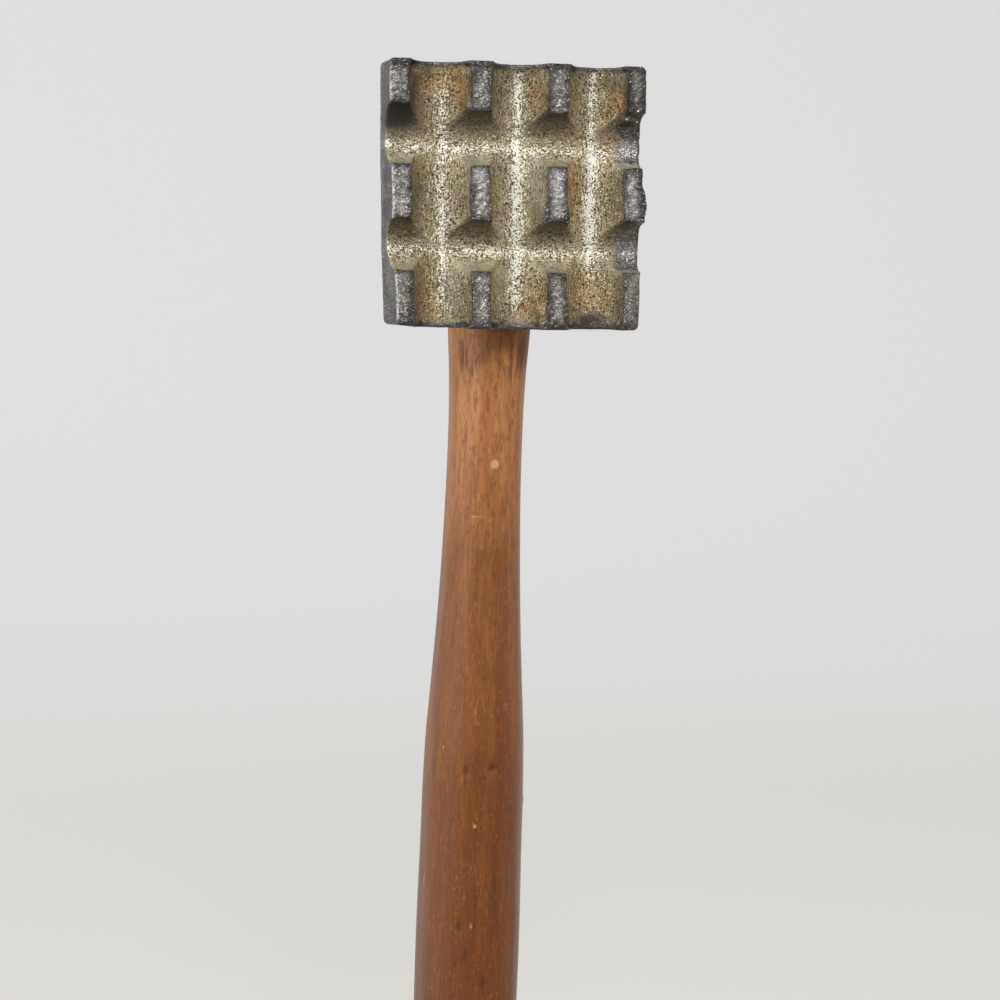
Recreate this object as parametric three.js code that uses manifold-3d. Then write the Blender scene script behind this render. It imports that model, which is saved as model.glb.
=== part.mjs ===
// A meat tenderizer: a cast aluminium head with a waffle of teeth, wedged on a wooden hammer-type handle.
// Millimetres, +Z up. The origin is the centre of the handle's flat butt end, and the teeth look to -Y.
import * as THREE from 'three';
import { mergeVertices } from 'three/addons/utils/BufferGeometryUtils.js';
import Module from 'manifold-3d';

// The whole tool
const overallLength = 305;
const headLeanDegrees = -1.6;
const fitGap = 0.3;

// The striking plate, a little narrower at its lower edge
const faceHeight = 62;
const faceTopWidth = 62.4;
const faceBottomWidth = 60.6;
const plateThickness = 11;
const plateCornerRadius = 2.2;
const plateEdgeRound = 1.2;
const toothTopsToHandleAxis = 25;

// The teeth, left standing between grooves of half-oval section
const toothColumns = 4;
const grooveDepth = 6.4;
const columnGrooveWidth = 14.1;
const topToothLength = 10.9;
const upperRowGrooveWidth = 13.3;
const middleToothLength = 12.8;
const lowerRowGrooveWidth = 12;

// A lip of metal beaten out over the right edge, beside the middle row
const lipReach = 1.5;
const lipHeight = 8;
const lipDepth = 5;

// The body behind the plate: a cove, a waist around the eye, and a plain poll
const hubInset = 5;
const coveFootWidth = 48;
const coveDepth = 6;
const eyeSideWall = 8;
const eyeRearWall = 5;
const pollBlend = 7;
const pollWidth = 38;
const pollHeight = 42;
const pollFaceToHandleAxis = 25;
const pollEdgeRound = 1.6;
const hubSquareness = 5;

// The eye, an oval hole that opens out towards the top so that the wedged wood can't pull back
const eyeWidth = 18.4;
const eyeDepth = 23.6;
const eyeTopFlare = 0.9;

// The handle: widths run across the face and depths from front to back
const shoulderWidth = 19.7;
const shoulderDepth = 25;
const neckBelowHead = 36;
const neckWidth = 17.6;
const neckDepth = 22.6;
const swellBelowHead = 66;
const swellWidth = 19.4;
const swellDepth = 24.6;
const gripBelowHead = 113;
const gripWidth = 24.1;
const gripDepth = 30;
const palmBelowHead = 164;
const palmWidth = 24.9;
const palmDepth = 30.8;
const taperAboveButt = 38;
const taperWidth = 24.4;
const taperDepth = 30.2;
const buttAboveEnd = 9;
const buttWidth = 27;
const buttDepth = 33.4;
const buttEdgeRound = 2.2;
const handleSquareness = 2.25;

// The wooden wedge lies front to back in a saw kerf, and two steel wedges cross it
const woodWedgeTop = 4;
const woodWedgeTip = 1.4;
const woodWedgeDepth = 30;
const woodWedgeEndGap = 0.8;
const kerfBeyondWedge = 4;
const steelWedgeTop = 2.2;
const steelWedgeTip = 0.8;
const steelWedgeDepth = 14;
const steelWedgeLength = 12.5;
const steelWedgeSpacing = 10.4;

// Facet counts
const ovalSides = 32;
const hubSides = 40;
const ringsPerSpan = 5;
const grooveSides = 32;
const lipSides = 16;
const roundSteps = 3;

// Places worked out from the sizes above
const plateBottom = overallLength - faceHeight;
const hubHeight = faceHeight - 2 * hubInset;
const seatHeight = plateBottom + hubInset;
const headLean = THREE.MathUtils.degToRad(headLeanDegrees);
const plateBack = -toothTopsToHandleAxis + plateThickness;
const plateMiddle = hubHeight / 2;
const cutMargin = 5;

const wasm = await Module();
wasm.setup();

function toSolid(geometry) {
  const bare = geometry.clone();
  bare.deleteAttribute('normal');
  bare.deleteAttribute('uv');
  const merged = mergeVertices(bare, 1e-4);
  return new wasm.Manifold(new wasm.Mesh({
    numProp: 3,
    vertProperties: new Float32Array(merged.attributes.position.array),
    triVerts: new Uint32Array(merged.index.array),
  }));
}

function toGeometry(solid) {
  const mesh = solid.getMesh();
  const geometry = new THREE.BufferGeometry();
  geometry.setAttribute('position', new THREE.BufferAttribute(new Float32Array(mesh.vertProperties), 3));
  geometry.setIndex(new THREE.BufferAttribute(new Uint32Array(mesh.triVerts), 1));
  geometry.computeVertexNormals();
  return geometry;
}

// A ring is one cross-section: its full width, its full depth and the height that it stands at.
function ring(width, depth, height) {
  return { width, depth, height };
}

// More rings on a smooth curve through the given ones
function smoothRings(rings) {
  const through = rings.map(({ width, depth, height }) => new THREE.Vector3(width, depth, height));
  const curve = new THREE.CatmullRomCurve3(through, false, 'centripetal');
  return curve.getPoints(ringsPerSpan * (rings.length - 1)).map(({ x, y, z }) => ring(x, y, z));
}

// The last ring is drawn in along a quarter round, which rounds the edge of the end face.
// Outwards is +1 for an end that looks up and -1 for one that looks down.
function roundedEnd({ width, depth, height }, radius, outwards) {
  return Array.from({ length: roundSteps + 1 }, (_, step) => {
    const turn = (step / roundSteps) * Math.PI / 2;
    const inwards = radius * (1 - Math.cos(turn));
    const along = radius * (Math.sin(turn) - 1);
    return ring(width - 2 * inwards, depth - 2 * inwards, height + outwards * along);
  });
}

// A closed solid through rings, lowest first. Each ring is the superellipse |x/a|^n + |y/b|^n = 1,
// an oval where n is near 2 and a rounded rectangle where n is larger.
function ringSolid(rings, squareness, sides) {
  const positions = [];
  const index = [];
  const power = 2 / squareness;
  for (const { width, depth, height } of rings) {
    for (let side = 0; side < sides; side += 1) {
      const turn = (side / sides) * 2 * Math.PI;
      const across = Math.sign(Math.cos(turn)) * Math.abs(Math.cos(turn)) ** power;
      const along = Math.sign(Math.sin(turn)) * Math.abs(Math.sin(turn)) ** power;
      positions.push(across * width / 2, along * depth / 2, height);
    }
  }
  for (let level = 0; level < rings.length - 1; level += 1) {
    for (let side = 0; side < sides; side += 1) {
      const here = level * sides + side;
      const next = level * sides + (side + 1) % sides;
      index.push(here, next, next + sides, here, next + sides, here + sides);
    }
  }
  const bottomCentre = positions.length / 3;
  const topRing = (rings.length - 1) * sides;
  positions.push(0, 0, rings[0].height, 0, 0, rings.at(-1).height);
  for (let side = 0; side < sides; side += 1) {
    const next = (side + 1) % sides;
    index.push(bottomCentre, next, side, bottomCentre + 1, topRing + side, topRing + next);
  }
  const geometry = new THREE.BufferGeometry();
  geometry.setAttribute('position', new THREE.Float32BufferAttribute(positions, 3));
  geometry.setIndex(index);
  return geometry;
}

// A taper from a thick upper edge at height 0 to a thin lower edge, running along Y
function wedgeGeometry(topThickness, tipThickness, depth, length, above) {
  const profile = new THREE.Shape();
  profile.moveTo(-topThickness / 2, above);
  profile.lineTo(-topThickness / 2, 0);
  profile.lineTo(-tipThickness / 2, -depth);
  profile.lineTo(tipThickness / 2, -depth);
  profile.lineTo(topThickness / 2, 0);
  profile.lineTo(topThickness / 2, above);
  const geometry = new THREE.ExtrudeGeometry(profile, { depth: length, bevelEnabled: false });
  geometry.translate(0, 0, -length / 2);
  geometry.rotateX(Math.PI / 2);
  return geometry;
}

// Everything of the head is drawn in the head's own frame: its origin is in the middle of the eye's lower mouth,
// and the whole head leans by headLean around it.
function faceHalfWidth(height) {
  const share = (height + hubInset) / faceHeight;
  return THREE.MathUtils.lerp(faceBottomWidth, faceTopWidth, share) / 2;
}

function plateGeometry() {
  const low = -hubInset + plateEdgeRound;
  const high = faceHeight - hubInset - plateEdgeRound;
  const lowHalf = faceBottomWidth / 2 - plateEdgeRound;
  const highHalf = faceTopWidth / 2 - plateEdgeRound;
  const radius = plateCornerRadius;
  const outline = new THREE.Shape();
  outline.moveTo(-lowHalf + radius, low);
  outline.lineTo(lowHalf - radius, low);
  outline.quadraticCurveTo(lowHalf, low, lowHalf, low + radius);
  outline.lineTo(highHalf, high - radius);
  outline.quadraticCurveTo(highHalf, high, highHalf - radius, high);
  outline.lineTo(-highHalf + radius, high);
  outline.quadraticCurveTo(-highHalf, high, -highHalf, high - radius);
  outline.lineTo(-lowHalf, low + radius);
  outline.quadraticCurveTo(-lowHalf, low, -lowHalf + radius, low);
  const geometry = new THREE.ExtrudeGeometry(outline, {
    depth: plateThickness - 2 * plateEdgeRound,
    bevelThickness: plateEdgeRound,
    bevelSize: plateEdgeRound,
    bevelSegments: roundSteps,
    curveSegments: roundSteps,
  });
  geometry.rotateX(Math.PI / 2);
  geometry.translate(0, plateBack - plateEdgeRound, 0);
  return geometry;
}

// An oval bar whose axis lies in the plane of the tooth tops, between two points given as x and height
function grooveCutter(width, from, to) {
  const start = new THREE.Vector3(from.x, 0, from.y);
  const end = new THREE.Vector3(to.x, 0, to.y);
  const run = end.clone().sub(start);
  const bar = new THREE.CylinderGeometry(1, 1, run.length() + 2 * cutMargin, grooveSides);
  bar.scale(width / 2, 1, grooveDepth);
  bar.rotateX(Math.PI / 2);
  bar.rotateY(Math.atan2(run.x, run.z));
  const middle = start.add(end).multiplyScalar(0.5);
  bar.translate(middle.x, -toothTopsToHandleAxis, middle.z);
  return toSolid(bar);
}

function columnGrooves() {
  const bottom = -hubInset;
  const top = faceHeight - hubInset;
  const grooves = toothColumns - 1;
  const centre = (number, height) => {
    const half = faceHalfWidth(height);
    const toothWidth = (2 * half - grooves * columnGrooveWidth) / toothColumns;
    return new THREE.Vector2(-half + (number + 1) * toothWidth + (number + 0.5) * columnGrooveWidth, height);
  };
  return Array.from({ length: grooves }, (_, number) => (
    grooveCutter(columnGrooveWidth, centre(number, bottom), centre(number, top))
  ));
}

function middleRowHeight() {
  return faceHeight - hubInset - topToothLength - upperRowGrooveWidth - middleToothLength / 2;
}

function rowGrooves() {
  const upper = middleRowHeight() + (middleToothLength + upperRowGrooveWidth) / 2;
  const lower = middleRowHeight() - (middleToothLength + lowerRowGrooveWidth) / 2;
  const across = (width, height) => {
    const half = faceHalfWidth(height);
    return grooveCutter(width, new THREE.Vector2(-half, height), new THREE.Vector2(half, height));
  };
  return [across(upperRowGrooveWidth, upper), across(lowerRowGrooveWidth, lower)];
}

function lipGeometry() {
  const lip = new THREE.SphereGeometry(1, lipSides, lipSides / 2);
  lip.scale(lipReach, lipDepth / 2, lipHeight / 2);
  lip.translate(faceHalfWidth(middleRowHeight()), lipDepth / 2 - toothTopsToHandleAxis, middleRowHeight());
  return lip;
}

// The hub and poll are rings stacked along Y, so the stack is drawn upright and then laid back.
// The cove is a quarter oval, and the poll is reached by an S-curve that starts and ends level.
function hubGeometry() {
  const waistWidth = eyeWidth + 2 * eyeTopFlare + 2 * eyeSideWall;
  const eyeBack = eyeDepth / 2 + eyeRearWall;
  const poll = ring(pollWidth, pollHeight, pollFaceToHandleAxis);
  const shares = Array.from({ length: ringsPerSpan + 1 }, (_, step) => step / ringsPerSpan);
  const cove = shares.map((share) => {
    const turn = share * Math.PI / 2;
    const width = waistWidth + (coveFootWidth - waistWidth) * (1 - Math.sin(turn));
    return ring(width, hubHeight, plateBack + coveDepth * (1 - Math.cos(turn)));
  });
  const neckIn = shares.map((share) => {
    const ease = THREE.MathUtils.smoothstep(share, 0, 1);
    const width = THREE.MathUtils.lerp(waistWidth, pollWidth, ease);
    const height = THREE.MathUtils.lerp(hubHeight, pollHeight, ease);
    return ring(width, height, eyeBack + pollBlend * (share - 0.5));
  });
  const buried = ring(coveFootWidth, hubHeight, plateBack - plateEdgeRound);
  const rings = [buried, ...cove, ...neckIn, ...roundedEnd(poll, pollEdgeRound, 1)];
  const geometry = ringSolid(rings, hubSquareness, hubSides);
  geometry.rotateX(-Math.PI / 2);
  geometry.translate(0, 0, plateMiddle);
  return geometry;
}

// The eye's rings, or the tenon's when the clearance is taken off all round
function eyeRings(clearance, below, above) {
  const mouth = ring(eyeWidth - 2 * clearance, eyeDepth - 2 * clearance, 0);
  const flared = ring(mouth.width + 2 * eyeTopFlare, mouth.depth, hubHeight);
  return [
    ring(mouth.width, mouth.depth, -below),
    ring(mouth.width, mouth.depth, hubHeight / 2),
    ring(flared.width, flared.depth, flared.height + above),
  ];
}

function headCasting() {
  const body = toSolid(plateGeometry()).add(toSolid(hubGeometry()));
  const eye = toSolid(ringSolid(eyeRings(0, cutMargin, cutMargin), handleSquareness, ovalSides));
  const cuts = [eye, ...columnGrooves(), ...rowGrooves()];
  return cuts.reduce((solid, cutter) => solid.subtract(cutter), body).add(toSolid(lipGeometry()));
}

function woodWedge(clearance, above) {
  const geometry = wedgeGeometry(
    woodWedgeTop + 2 * clearance,
    woodWedgeTip + 2 * clearance,
    woodWedgeDepth + (clearance ? kerfBeyondWedge : 0),
    clearance ? eyeDepth : eyeDepth - 2 * woodWedgeEndGap,
    above,
  );
  geometry.translate(0, 0, hubHeight);
  return toSolid(geometry);
}

function steelWedge(side, clearance, above) {
  const geometry = wedgeGeometry(
    steelWedgeTop + 2 * clearance,
    steelWedgeTip + 2 * clearance,
    steelWedgeDepth + clearance,
    steelWedgeLength + 2 * clearance,
    above,
  );
  geometry.rotateZ(Math.PI / 2);
  geometry.translate(0, side * steelWedgeSpacing / 2, hubHeight);
  return toSolid(geometry);
}

function handleShaft() {
  const shoulder = ring(shoulderWidth, shoulderDepth, seatHeight);
  const butt = ring(buttWidth, buttDepth, buttAboveEnd);
  const below = (width, depth, drop) => ring(width, depth, plateBottom - drop);
  const rings = [
    ...roundedEnd(ring(buttWidth, buttDepth, 0), buttEdgeRound, -1).reverse(),
    ...smoothRings([
      butt,
      ring(taperWidth, taperDepth, taperAboveButt),
      below(palmWidth, palmDepth, palmBelowHead),
      below(gripWidth, gripDepth, gripBelowHead),
      below(swellWidth, swellDepth, swellBelowHead),
      below(neckWidth, neckDepth, neckBelowHead),
      shoulder,
    ]),
    ring(shoulderWidth, shoulderDepth, seatHeight + cutMargin),
  ];
  return toSolid(ringSolid(rings, handleSquareness, ovalSides));
}

// The shoulder is cut square to the head, a clearance below the eye's mouth.
function shoulderCutter() {
  const wide = shoulderWidth + 2 * cutMargin;
  const deep = shoulderDepth + 2 * cutMargin;
  const high = 3 * cutMargin;
  const block = new THREE.BoxGeometry(wide, deep, high);
  block.translate(0, 0, high / 2 - fitGap);
  return block;
}

// The tenon is the part of the handle inside the eye, so it leans with the head.
function tenon() {
  const rings = eyeRings(fitGap, cutMargin, 0);
  const cuts = [woodWedge(fitGap, cutMargin), steelWedge(-1, fitGap, cutMargin), steelWedge(1, fitGap, cutMargin)];
  const solid = toSolid(ringSolid(rings, handleSquareness, ovalSides));
  return cuts.reduce((rest, cutter) => rest.subtract(cutter), solid);
}

function handle() {
  const leaning = new THREE.Matrix4().makeRotationY(headLean).setPosition(0, 0, seatHeight);
  const shoulderCut = toSolid(shoulderCutter().applyMatrix4(leaning));
  const leaningTenon = toSolid(toGeometry(tenon()).applyMatrix4(leaning));
  return handleShaft().subtract(shoulderCut).add(leaningTenon);
}

const castAluminium = new THREE.MeshStandardMaterial({ color: 0x6f6c62, roughness: 0.55, metalness: 0.8 });
const oiledHickory = new THREE.MeshStandardMaterial({ color: 0x99663e, roughness: 0.5, metalness: 0 });
const wedgeWood = new THREE.MeshStandardMaterial({ color: 0xb08a58, roughness: 0.7, metalness: 0 });
const wedgeSteel = new THREE.MeshStandardMaterial({ color: 0x5b5652, roughness: 0.5, metalness: 0.9 });

function named(name, solid, material) {
  const mesh = new THREE.Mesh(toGeometry(solid), material);
  mesh.name = name;
  return mesh;
}

const head = new THREE.Group();
head.position.set(0, 0, seatHeight);
head.rotation.y = headLean;
const steelWedgeCuts = [steelWedge(-1, fitGap, cutMargin), steelWedge(1, fitGap, cutMargin)];
head.add(
  named('head_casting', headCasting(), castAluminium),
  named('wooden_wedge', steelWedgeCuts.reduce((rest, cut) => rest.subtract(cut), woodWedge(0, 0)), wedgeWood),
  named('steel_wedge_front', steelWedge(-1, 0, 0), wedgeSteel),
  named('steel_wedge_rear', steelWedge(1, 0, 0), wedgeSteel),
);

const group = new THREE.Group();
group.name = 'meat_tenderizer';
group.add(named('handle', handle(), oiledHickory), head);

export default group;
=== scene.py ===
# %% [markdown]
# # A cast aluminium meat tenderizer on a wooden handle
# The tool has two main pieces: a sand-cast aluminium head with a waffle of teeth on its face, and an oval
# hammer-type handle that is wedged into it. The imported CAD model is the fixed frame. This lesson makes a fine
# skin for each piece in the same place and size, and then gives it the finish of an old, much used tool.

import functools
import math

import bpy
import numpy as np
from mathutils import Matrix, Vector


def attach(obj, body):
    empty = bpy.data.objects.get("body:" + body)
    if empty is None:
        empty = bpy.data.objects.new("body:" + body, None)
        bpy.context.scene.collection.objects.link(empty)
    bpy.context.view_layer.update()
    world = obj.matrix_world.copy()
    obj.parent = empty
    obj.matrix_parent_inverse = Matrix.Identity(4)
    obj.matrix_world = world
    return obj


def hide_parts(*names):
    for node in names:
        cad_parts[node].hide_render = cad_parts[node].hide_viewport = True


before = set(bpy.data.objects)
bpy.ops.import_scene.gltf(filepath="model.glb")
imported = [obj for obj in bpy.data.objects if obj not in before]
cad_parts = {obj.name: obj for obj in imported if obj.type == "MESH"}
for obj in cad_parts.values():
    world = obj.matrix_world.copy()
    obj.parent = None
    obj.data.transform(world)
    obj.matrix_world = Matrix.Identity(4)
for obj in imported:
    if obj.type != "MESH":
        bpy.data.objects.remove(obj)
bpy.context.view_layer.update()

# %% [markdown]
# ## Two small helpers for every material
# Colours are picked as sRGB hex values, as a paint chart gives them, but a shader wants linear light. The
# first helper turns one into the other. The second adds a node with its settings and links in one call and
# gives its output, so a material reads as a list of steps.

# %% Colour and node helpers
def linear(hex_colour):
    """sRGB hex to linear RGBA: each channel is divided by 12.92 when dark, else raised to the power 2.4."""
    channels = [int(hex_colour[place:place + 2], 16) / 255 for place in (1, 3, 5)]
    light = [value / 12.92 if value <= 0.04045 else ((value + 0.055) / 1.055) ** 2.4 for value in channels]
    return (*light, 1.0)


def node(tree, kind, inputs=(), output=None, **settings):
    """Adds a node and gives its named output, or else the first live one. Settings are its properties. Inputs
    are a dict by socket name or a list for its live sockets in order, each a value, a hex colour or another
    node's output."""
    new = tree.nodes.new("ShaderNode" + kind)
    for name, value in settings.items():
        setattr(new, name, value)
    live = [socket for socket in new.inputs if socket.enabled]
    for key, value in inputs.items() if isinstance(inputs, dict) else enumerate(inputs):
        socket = new.inputs[key] if isinstance(key, str) else live[key]
        if isinstance(value, bpy.types.NodeSocket):
            tree.links.new(value, socket)
        else:
            socket.default_value = linear(value) if isinstance(value, str) else value
    if output:
        return new.outputs[output]
    return next((socket for socket in new.outputs if socket.enabled), None)


print("black, mid grey and white:", [round(linear(colour)[0], 3) for colour in ("#000000", "#808080", "#FFFFFF")])

# %% [markdown]
# ## Sizes
# All sizes are in millimetres, as a pattern maker would measure them. The head is drawn in its own frame: its
# origin is the middle of the eye's lower mouth, x runs across the face, y runs from the teeth back to the poll,
# and z runs up. The old head sits slightly askew on its handle, so this frame leans a little.

# %% Sizes of the head
MM = 0.001
OVERALL_LENGTH = 305.0
HEAD_LEAN = math.radians(-1.6)
FACE_HEIGHT = 62.0
FACE_TOP_WIDTH = 62.4
FACE_BOTTOM_WIDTH = 60.6
PLATE_THICKNESS = 11.0
TOOTH_TOPS_TO_AXIS = 25.0
GROOVE_DEPTH = 6.4
COLUMN_GROOVE_WIDTH = 14.1
TOP_TOOTH = 10.9
UPPER_ROW_GROOVE = 13.3
MIDDLE_TOOTH = 12.8
LOWER_ROW_GROOVE = 12.0
HUB_INSET = 5.0
SEAT = OVERALL_LENGTH - FACE_HEIGHT + HUB_INSET
HUB_HEIGHT = FACE_HEIGHT - 2 * HUB_INSET
PLATE_BACK = PLATE_THICKNESS - TOOTH_TOPS_TO_AXIS
print("the eye's lower mouth is", SEAT, "mm above the butt, and the hub is", HUB_HEIGHT, "mm high")

# %% [markdown]
# ## Noise for surfaces
# Cast metal and worn wood are never smooth, so their points are nudged by noise before they become a mesh.
# The noise here is a block of random numbers that repeats, read at any point by blending the eight nearest
# numbers. It is seeded, so the tool comes out the same every time.

# %% Noise in numpy
LATTICE = 32
lattice = np.random.default_rng(11).random((LATTICE, LATTICE, LATTICE))


def noise(points, size, shift=0.0):
    """Smooth noise from 0 to 1 with lumps of the given size: the eight lattice values around each point are
    blended with weights 3t^2 - 2t^3, where t is how far the point lies between its neighbours."""
    scaled = np.asarray(points) / size + shift
    whole = np.floor(scaled).astype(int)
    part = scaled - whole
    part = part * part * (3 - 2 * part)
    total = np.zeros(len(scaled))
    for corner in np.ndindex(2, 2, 2):
        weight = np.prod(np.where(corner, part, 1 - part), axis=1)
        near = (whole + corner) % LATTICE
        total += weight * lattice[near[:, 0], near[:, 1], near[:, 2]]
    return total


def layered_noise(points, size, layers=3, shift=0.0):
    """Several noises added up, each with half the size and half the strength of the one before."""
    strengths = 0.5 ** np.arange(layers)
    total = sum(s * noise(points, size * s, shift + 7.3 * k) for k, s in enumerate(strengths))
    return total / strengths.sum()


print("noise at three points:", noise(np.array([[0, 0, 0], [1.5, 2, 3], [9, 9, 9.5]]), 2.0).round(3))

# %% [markdown]
# ## From arrays to meshes
# A closed surface is a stack of rings. Each ring has the same number of points, neighbouring rings are joined
# by four-sided faces, and a centre point closes each end. The handle, the wedges and the eye's cutter are all
# made this way, and so is the back of the head.

# %% Rings to a mesh
def ring_faces(rings):
    """Four-sided faces between stacked rings of point numbers, each ring anticlockwise seen from above: point
    k of a ring joins point k + 1 and the same two of the next ring."""
    beside = np.roll(rings, -1, axis=1)
    return np.stack([rings[:-1], beside[:-1], beside[1:], rings[1:]], axis=-1).reshape(-1, 4)


def fan_faces(ring, centre, looks_up):
    """Three-sided faces from a ring of point numbers to its centre point."""
    beside = np.roll(ring, -1)
    order = [ring, beside] if looks_up else [beside, ring]
    return np.stack([*order, np.full(len(ring), centre)], axis=-1)


def make_piece(name, points_mm, faces):
    """Puts points, in millimetres, and faces into a new mesh object at the origin, shaded smooth."""
    mesh = bpy.data.meshes.new(name)
    mesh.from_pydata((np.asarray(points_mm) * MM).tolist(), [], faces)
    mesh.update()
    mesh.shade_smooth()
    piece = bpy.data.objects.new(name, mesh)
    bpy.context.scene.collection.objects.link(piece)
    return piece


def ring_piece(name, rings):
    """A closed mesh from an array of rings, lowest first, each anticlockwise seen from above."""
    count, sides, _ = rings.shape
    points = np.vstack([rings.reshape(-1, 3), rings[0].mean(axis=0), rings[-1].mean(axis=0)])
    numbers = np.arange(count * sides).reshape(count, sides)
    faces = [
        *ring_faces(numbers).tolist(),
        *fan_faces(numbers[0], count * sides, False).tolist(),
        *fan_faces(numbers[-1], count * sides + 1, True).tolist(),
    ]
    return make_piece(name, points, faces)


print("four rings of eight points give", len(ring_faces(np.arange(32).reshape(4, 8))), "side faces")

# %% Moving the points of a mesh
def get_points(piece):
    """The mesh's points in millimetres, as one array."""
    flat = np.zeros(len(piece.data.vertices) * 3, np.float32)
    piece.data.vertices.foreach_get("co", flat)
    return flat.reshape(-1, 3).astype(float) / MM


def set_points(piece, points_mm):
    """Puts an array of points, in millimetres, back into the mesh."""
    piece.data.vertices.foreach_set("co", (np.asarray(points_mm) * MM).astype(np.float32).ravel())
    piece.data.update()


def push_out(piece, amounts_mm):
    """Moves each point along its own normal by its own amount."""
    flat = np.zeros(len(piece.data.vertices) * 3, np.float32)
    piece.data.vertices.foreach_get("normal", flat)
    set_points(piece, get_points(piece) + flat.reshape(-1, 3) * np.asarray(amounts_mm)[:, None])


print("one metre of the mesh is", 1 / MM, "mm of these arrays")

# %% The lean of the head, and clean cuts
def tilt_with_head(points):
    """From the head's own frame to the shared one: a turn by the lean about Y, then up to the seat."""
    x, y, z = np.moveaxis(np.asarray(points, dtype=float), -1, 0)
    cosine = math.cos(HEAD_LEAN)
    sine = math.sin(HEAD_LEAN)
    return np.stack([x * cosine + z * sine, y, SEAT - x * sine + z * cosine], axis=-1)


def apply_cut(piece, cutter):
    """Cuts one closed mesh out of another and throws the cutter away."""
    cut = piece.modifiers.new("cut", "BOOLEAN")
    cut.object = cutter
    cut.operation = "DIFFERENCE"
    cut.solver = "EXACT"
    graph = bpy.context.evaluated_depsgraph_get()
    mesh = bpy.data.meshes.new_from_object(piece.evaluated_get(graph))
    piece.modifiers.remove(cut)
    piece.data = mesh
    mesh.name = piece.name
    bpy.data.objects.remove(cutter)


print("the middle of the hub's top stands at", tilt_with_head([0, 0, HUB_HEIGHT]).round(2), "mm")

# %% [markdown]
# ## The striking face as a landscape
# The face could be cut with boolean tools, but old teeth have soft edges, chips and dents. It is easier to
# see the face as a landscape: for each place across and up the plate, a formula gives how deep the metal
# lies below the tooth tops. Two families of half-oval valleys cross, and what they leave standing are teeth.

# %% Curves for shapes
def ease(values, start, end):
    """A smooth step from 0 at start to 1 at end: 3 t^2 - 2 t^3."""
    t = np.clip((values - start) / (end - start), 0, 1)
    return t * t * (3 - 2 * t)


def smooth_curve(heights, places, values):
    """A cubic through given values: its slope at each place is the slope between the two neighbours, and
    between two places it follows h00 v0 + h10 d s0 + h01 v1 + h11 d s1 (the Hermite weights)."""
    slopes = np.gradient(values, places)
    cell = np.clip(np.searchsorted(places, heights) - 1, 0, len(places) - 2)
    length = places[cell + 1] - places[cell]
    t = (heights - places[cell]) / length
    start = values[cell] * (2 * t ** 3 - 3 * t ** 2 + 1) + slopes[cell] * length * (t ** 3 - 2 * t ** 2 + t)
    end = values[cell + 1] * (3 * t ** 2 - 2 * t ** 3) + slopes[cell + 1] * length * (t ** 3 - t ** 2)
    return start + end


print("a smooth step at a quarter, a half and three quarters:", ease(np.array([0.25, 0.5, 0.75]), 0, 1).round(2))

# %% The depth of a groove
def soft_max(first, second, rounding):
    """The larger of two depths, with the crease between them rounded: (a + b + sqrt((a - b)^2 + r^2)) / 2."""
    return (first + second + np.sqrt((first - second) ** 2 + rounding ** 2)) / 2


STEEP_PART = 0.97


def groove_depth(distance, width):
    """Depth of a half-oval valley: D sqrt(1 - t^2), where t is the distance from its middle line over half its
    width. Past t = 0.97 the wall goes on straight, to above the tooth tops, so that soft_max has a crease to
    round."""
    t = np.abs(distance) / (width / 2)
    oval = np.sqrt(1 - np.minimum(t, STEEP_PART) ** 2)
    slope = STEEP_PART / math.sqrt(1 - STEEP_PART ** 2)
    return GROOVE_DEPTH * (oval - slope * np.maximum(t - STEEP_PART, 0))


for t_mm in (0, 4, 6.9, 7.4):
    t_depth = float(groove_depth(t_mm, COLUMN_GROOVE_WIDTH))
    print("groove depth", t_mm, "mm from the middle line:", round(t_depth, 2))

# %% [markdown]
# ## What years of pounding did
# Each dent or heap is a soft hill with an oval foot, given by its place on the face, its reach across and up,
# and its depth. The places are those of the old tool: a chip out of the first tooth, feet of metal that
# spread beside the lower ends of some teeth, and one corner tooth that was cast or beaten out of shape.

# %% Dents, spread feet and battered tops
TOOTH_COLUMNS = 4
BLOWS = [  # across, above the lower edge, reach across, reach up, depth (a minus heaps metal up)
    (-26.2, 56.4, 1.0, 3.0, 2.4), (-25.2, 60.4, 1.2, 1.4, 1.2), (6.4, 26.6, 1.0, 3.0, -3.0),
    (12.5, 26.2, 0.8, 2.4, -2.6), (-6.6, 26.6, 0.8, 3.0, -2.2), (12.3, 4.0, 0.9, 2.4, -2.4),
    (6.3, 3.0, 0.8, 1.8, -1.8), (-12.2, 51.6, 0.7, 1.4, -1.6), (29.8, 24.2, 1.4, 1.6, 0.9),
    (30.0, 57.0, 0.8, 2.6, 0.6), (26.4, 49.4, 1.3, 1.0, -1.8), (28.6, 49.0, 0.8, 0.6, -0.9),
    (31.0, 44.6, 1.6, 0.7, 0.5), (31.0, 41.0, 1.6, 0.5, 0.45), (-9.4, 37.0, 3.0, 1.1, 0.45),
    (9.5, 37.0, 3.0, 1.1, 0.4), (-28.4, 51.4, 3.0, 0.8, 0.6), (-28.6, 61.6, 3.0, 0.8, 0.6),
    (-9.0, 61.8, 3.0, 0.8, 0.6), (9.6, 61.8, 3.0, 0.8, 0.6),
]
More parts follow.
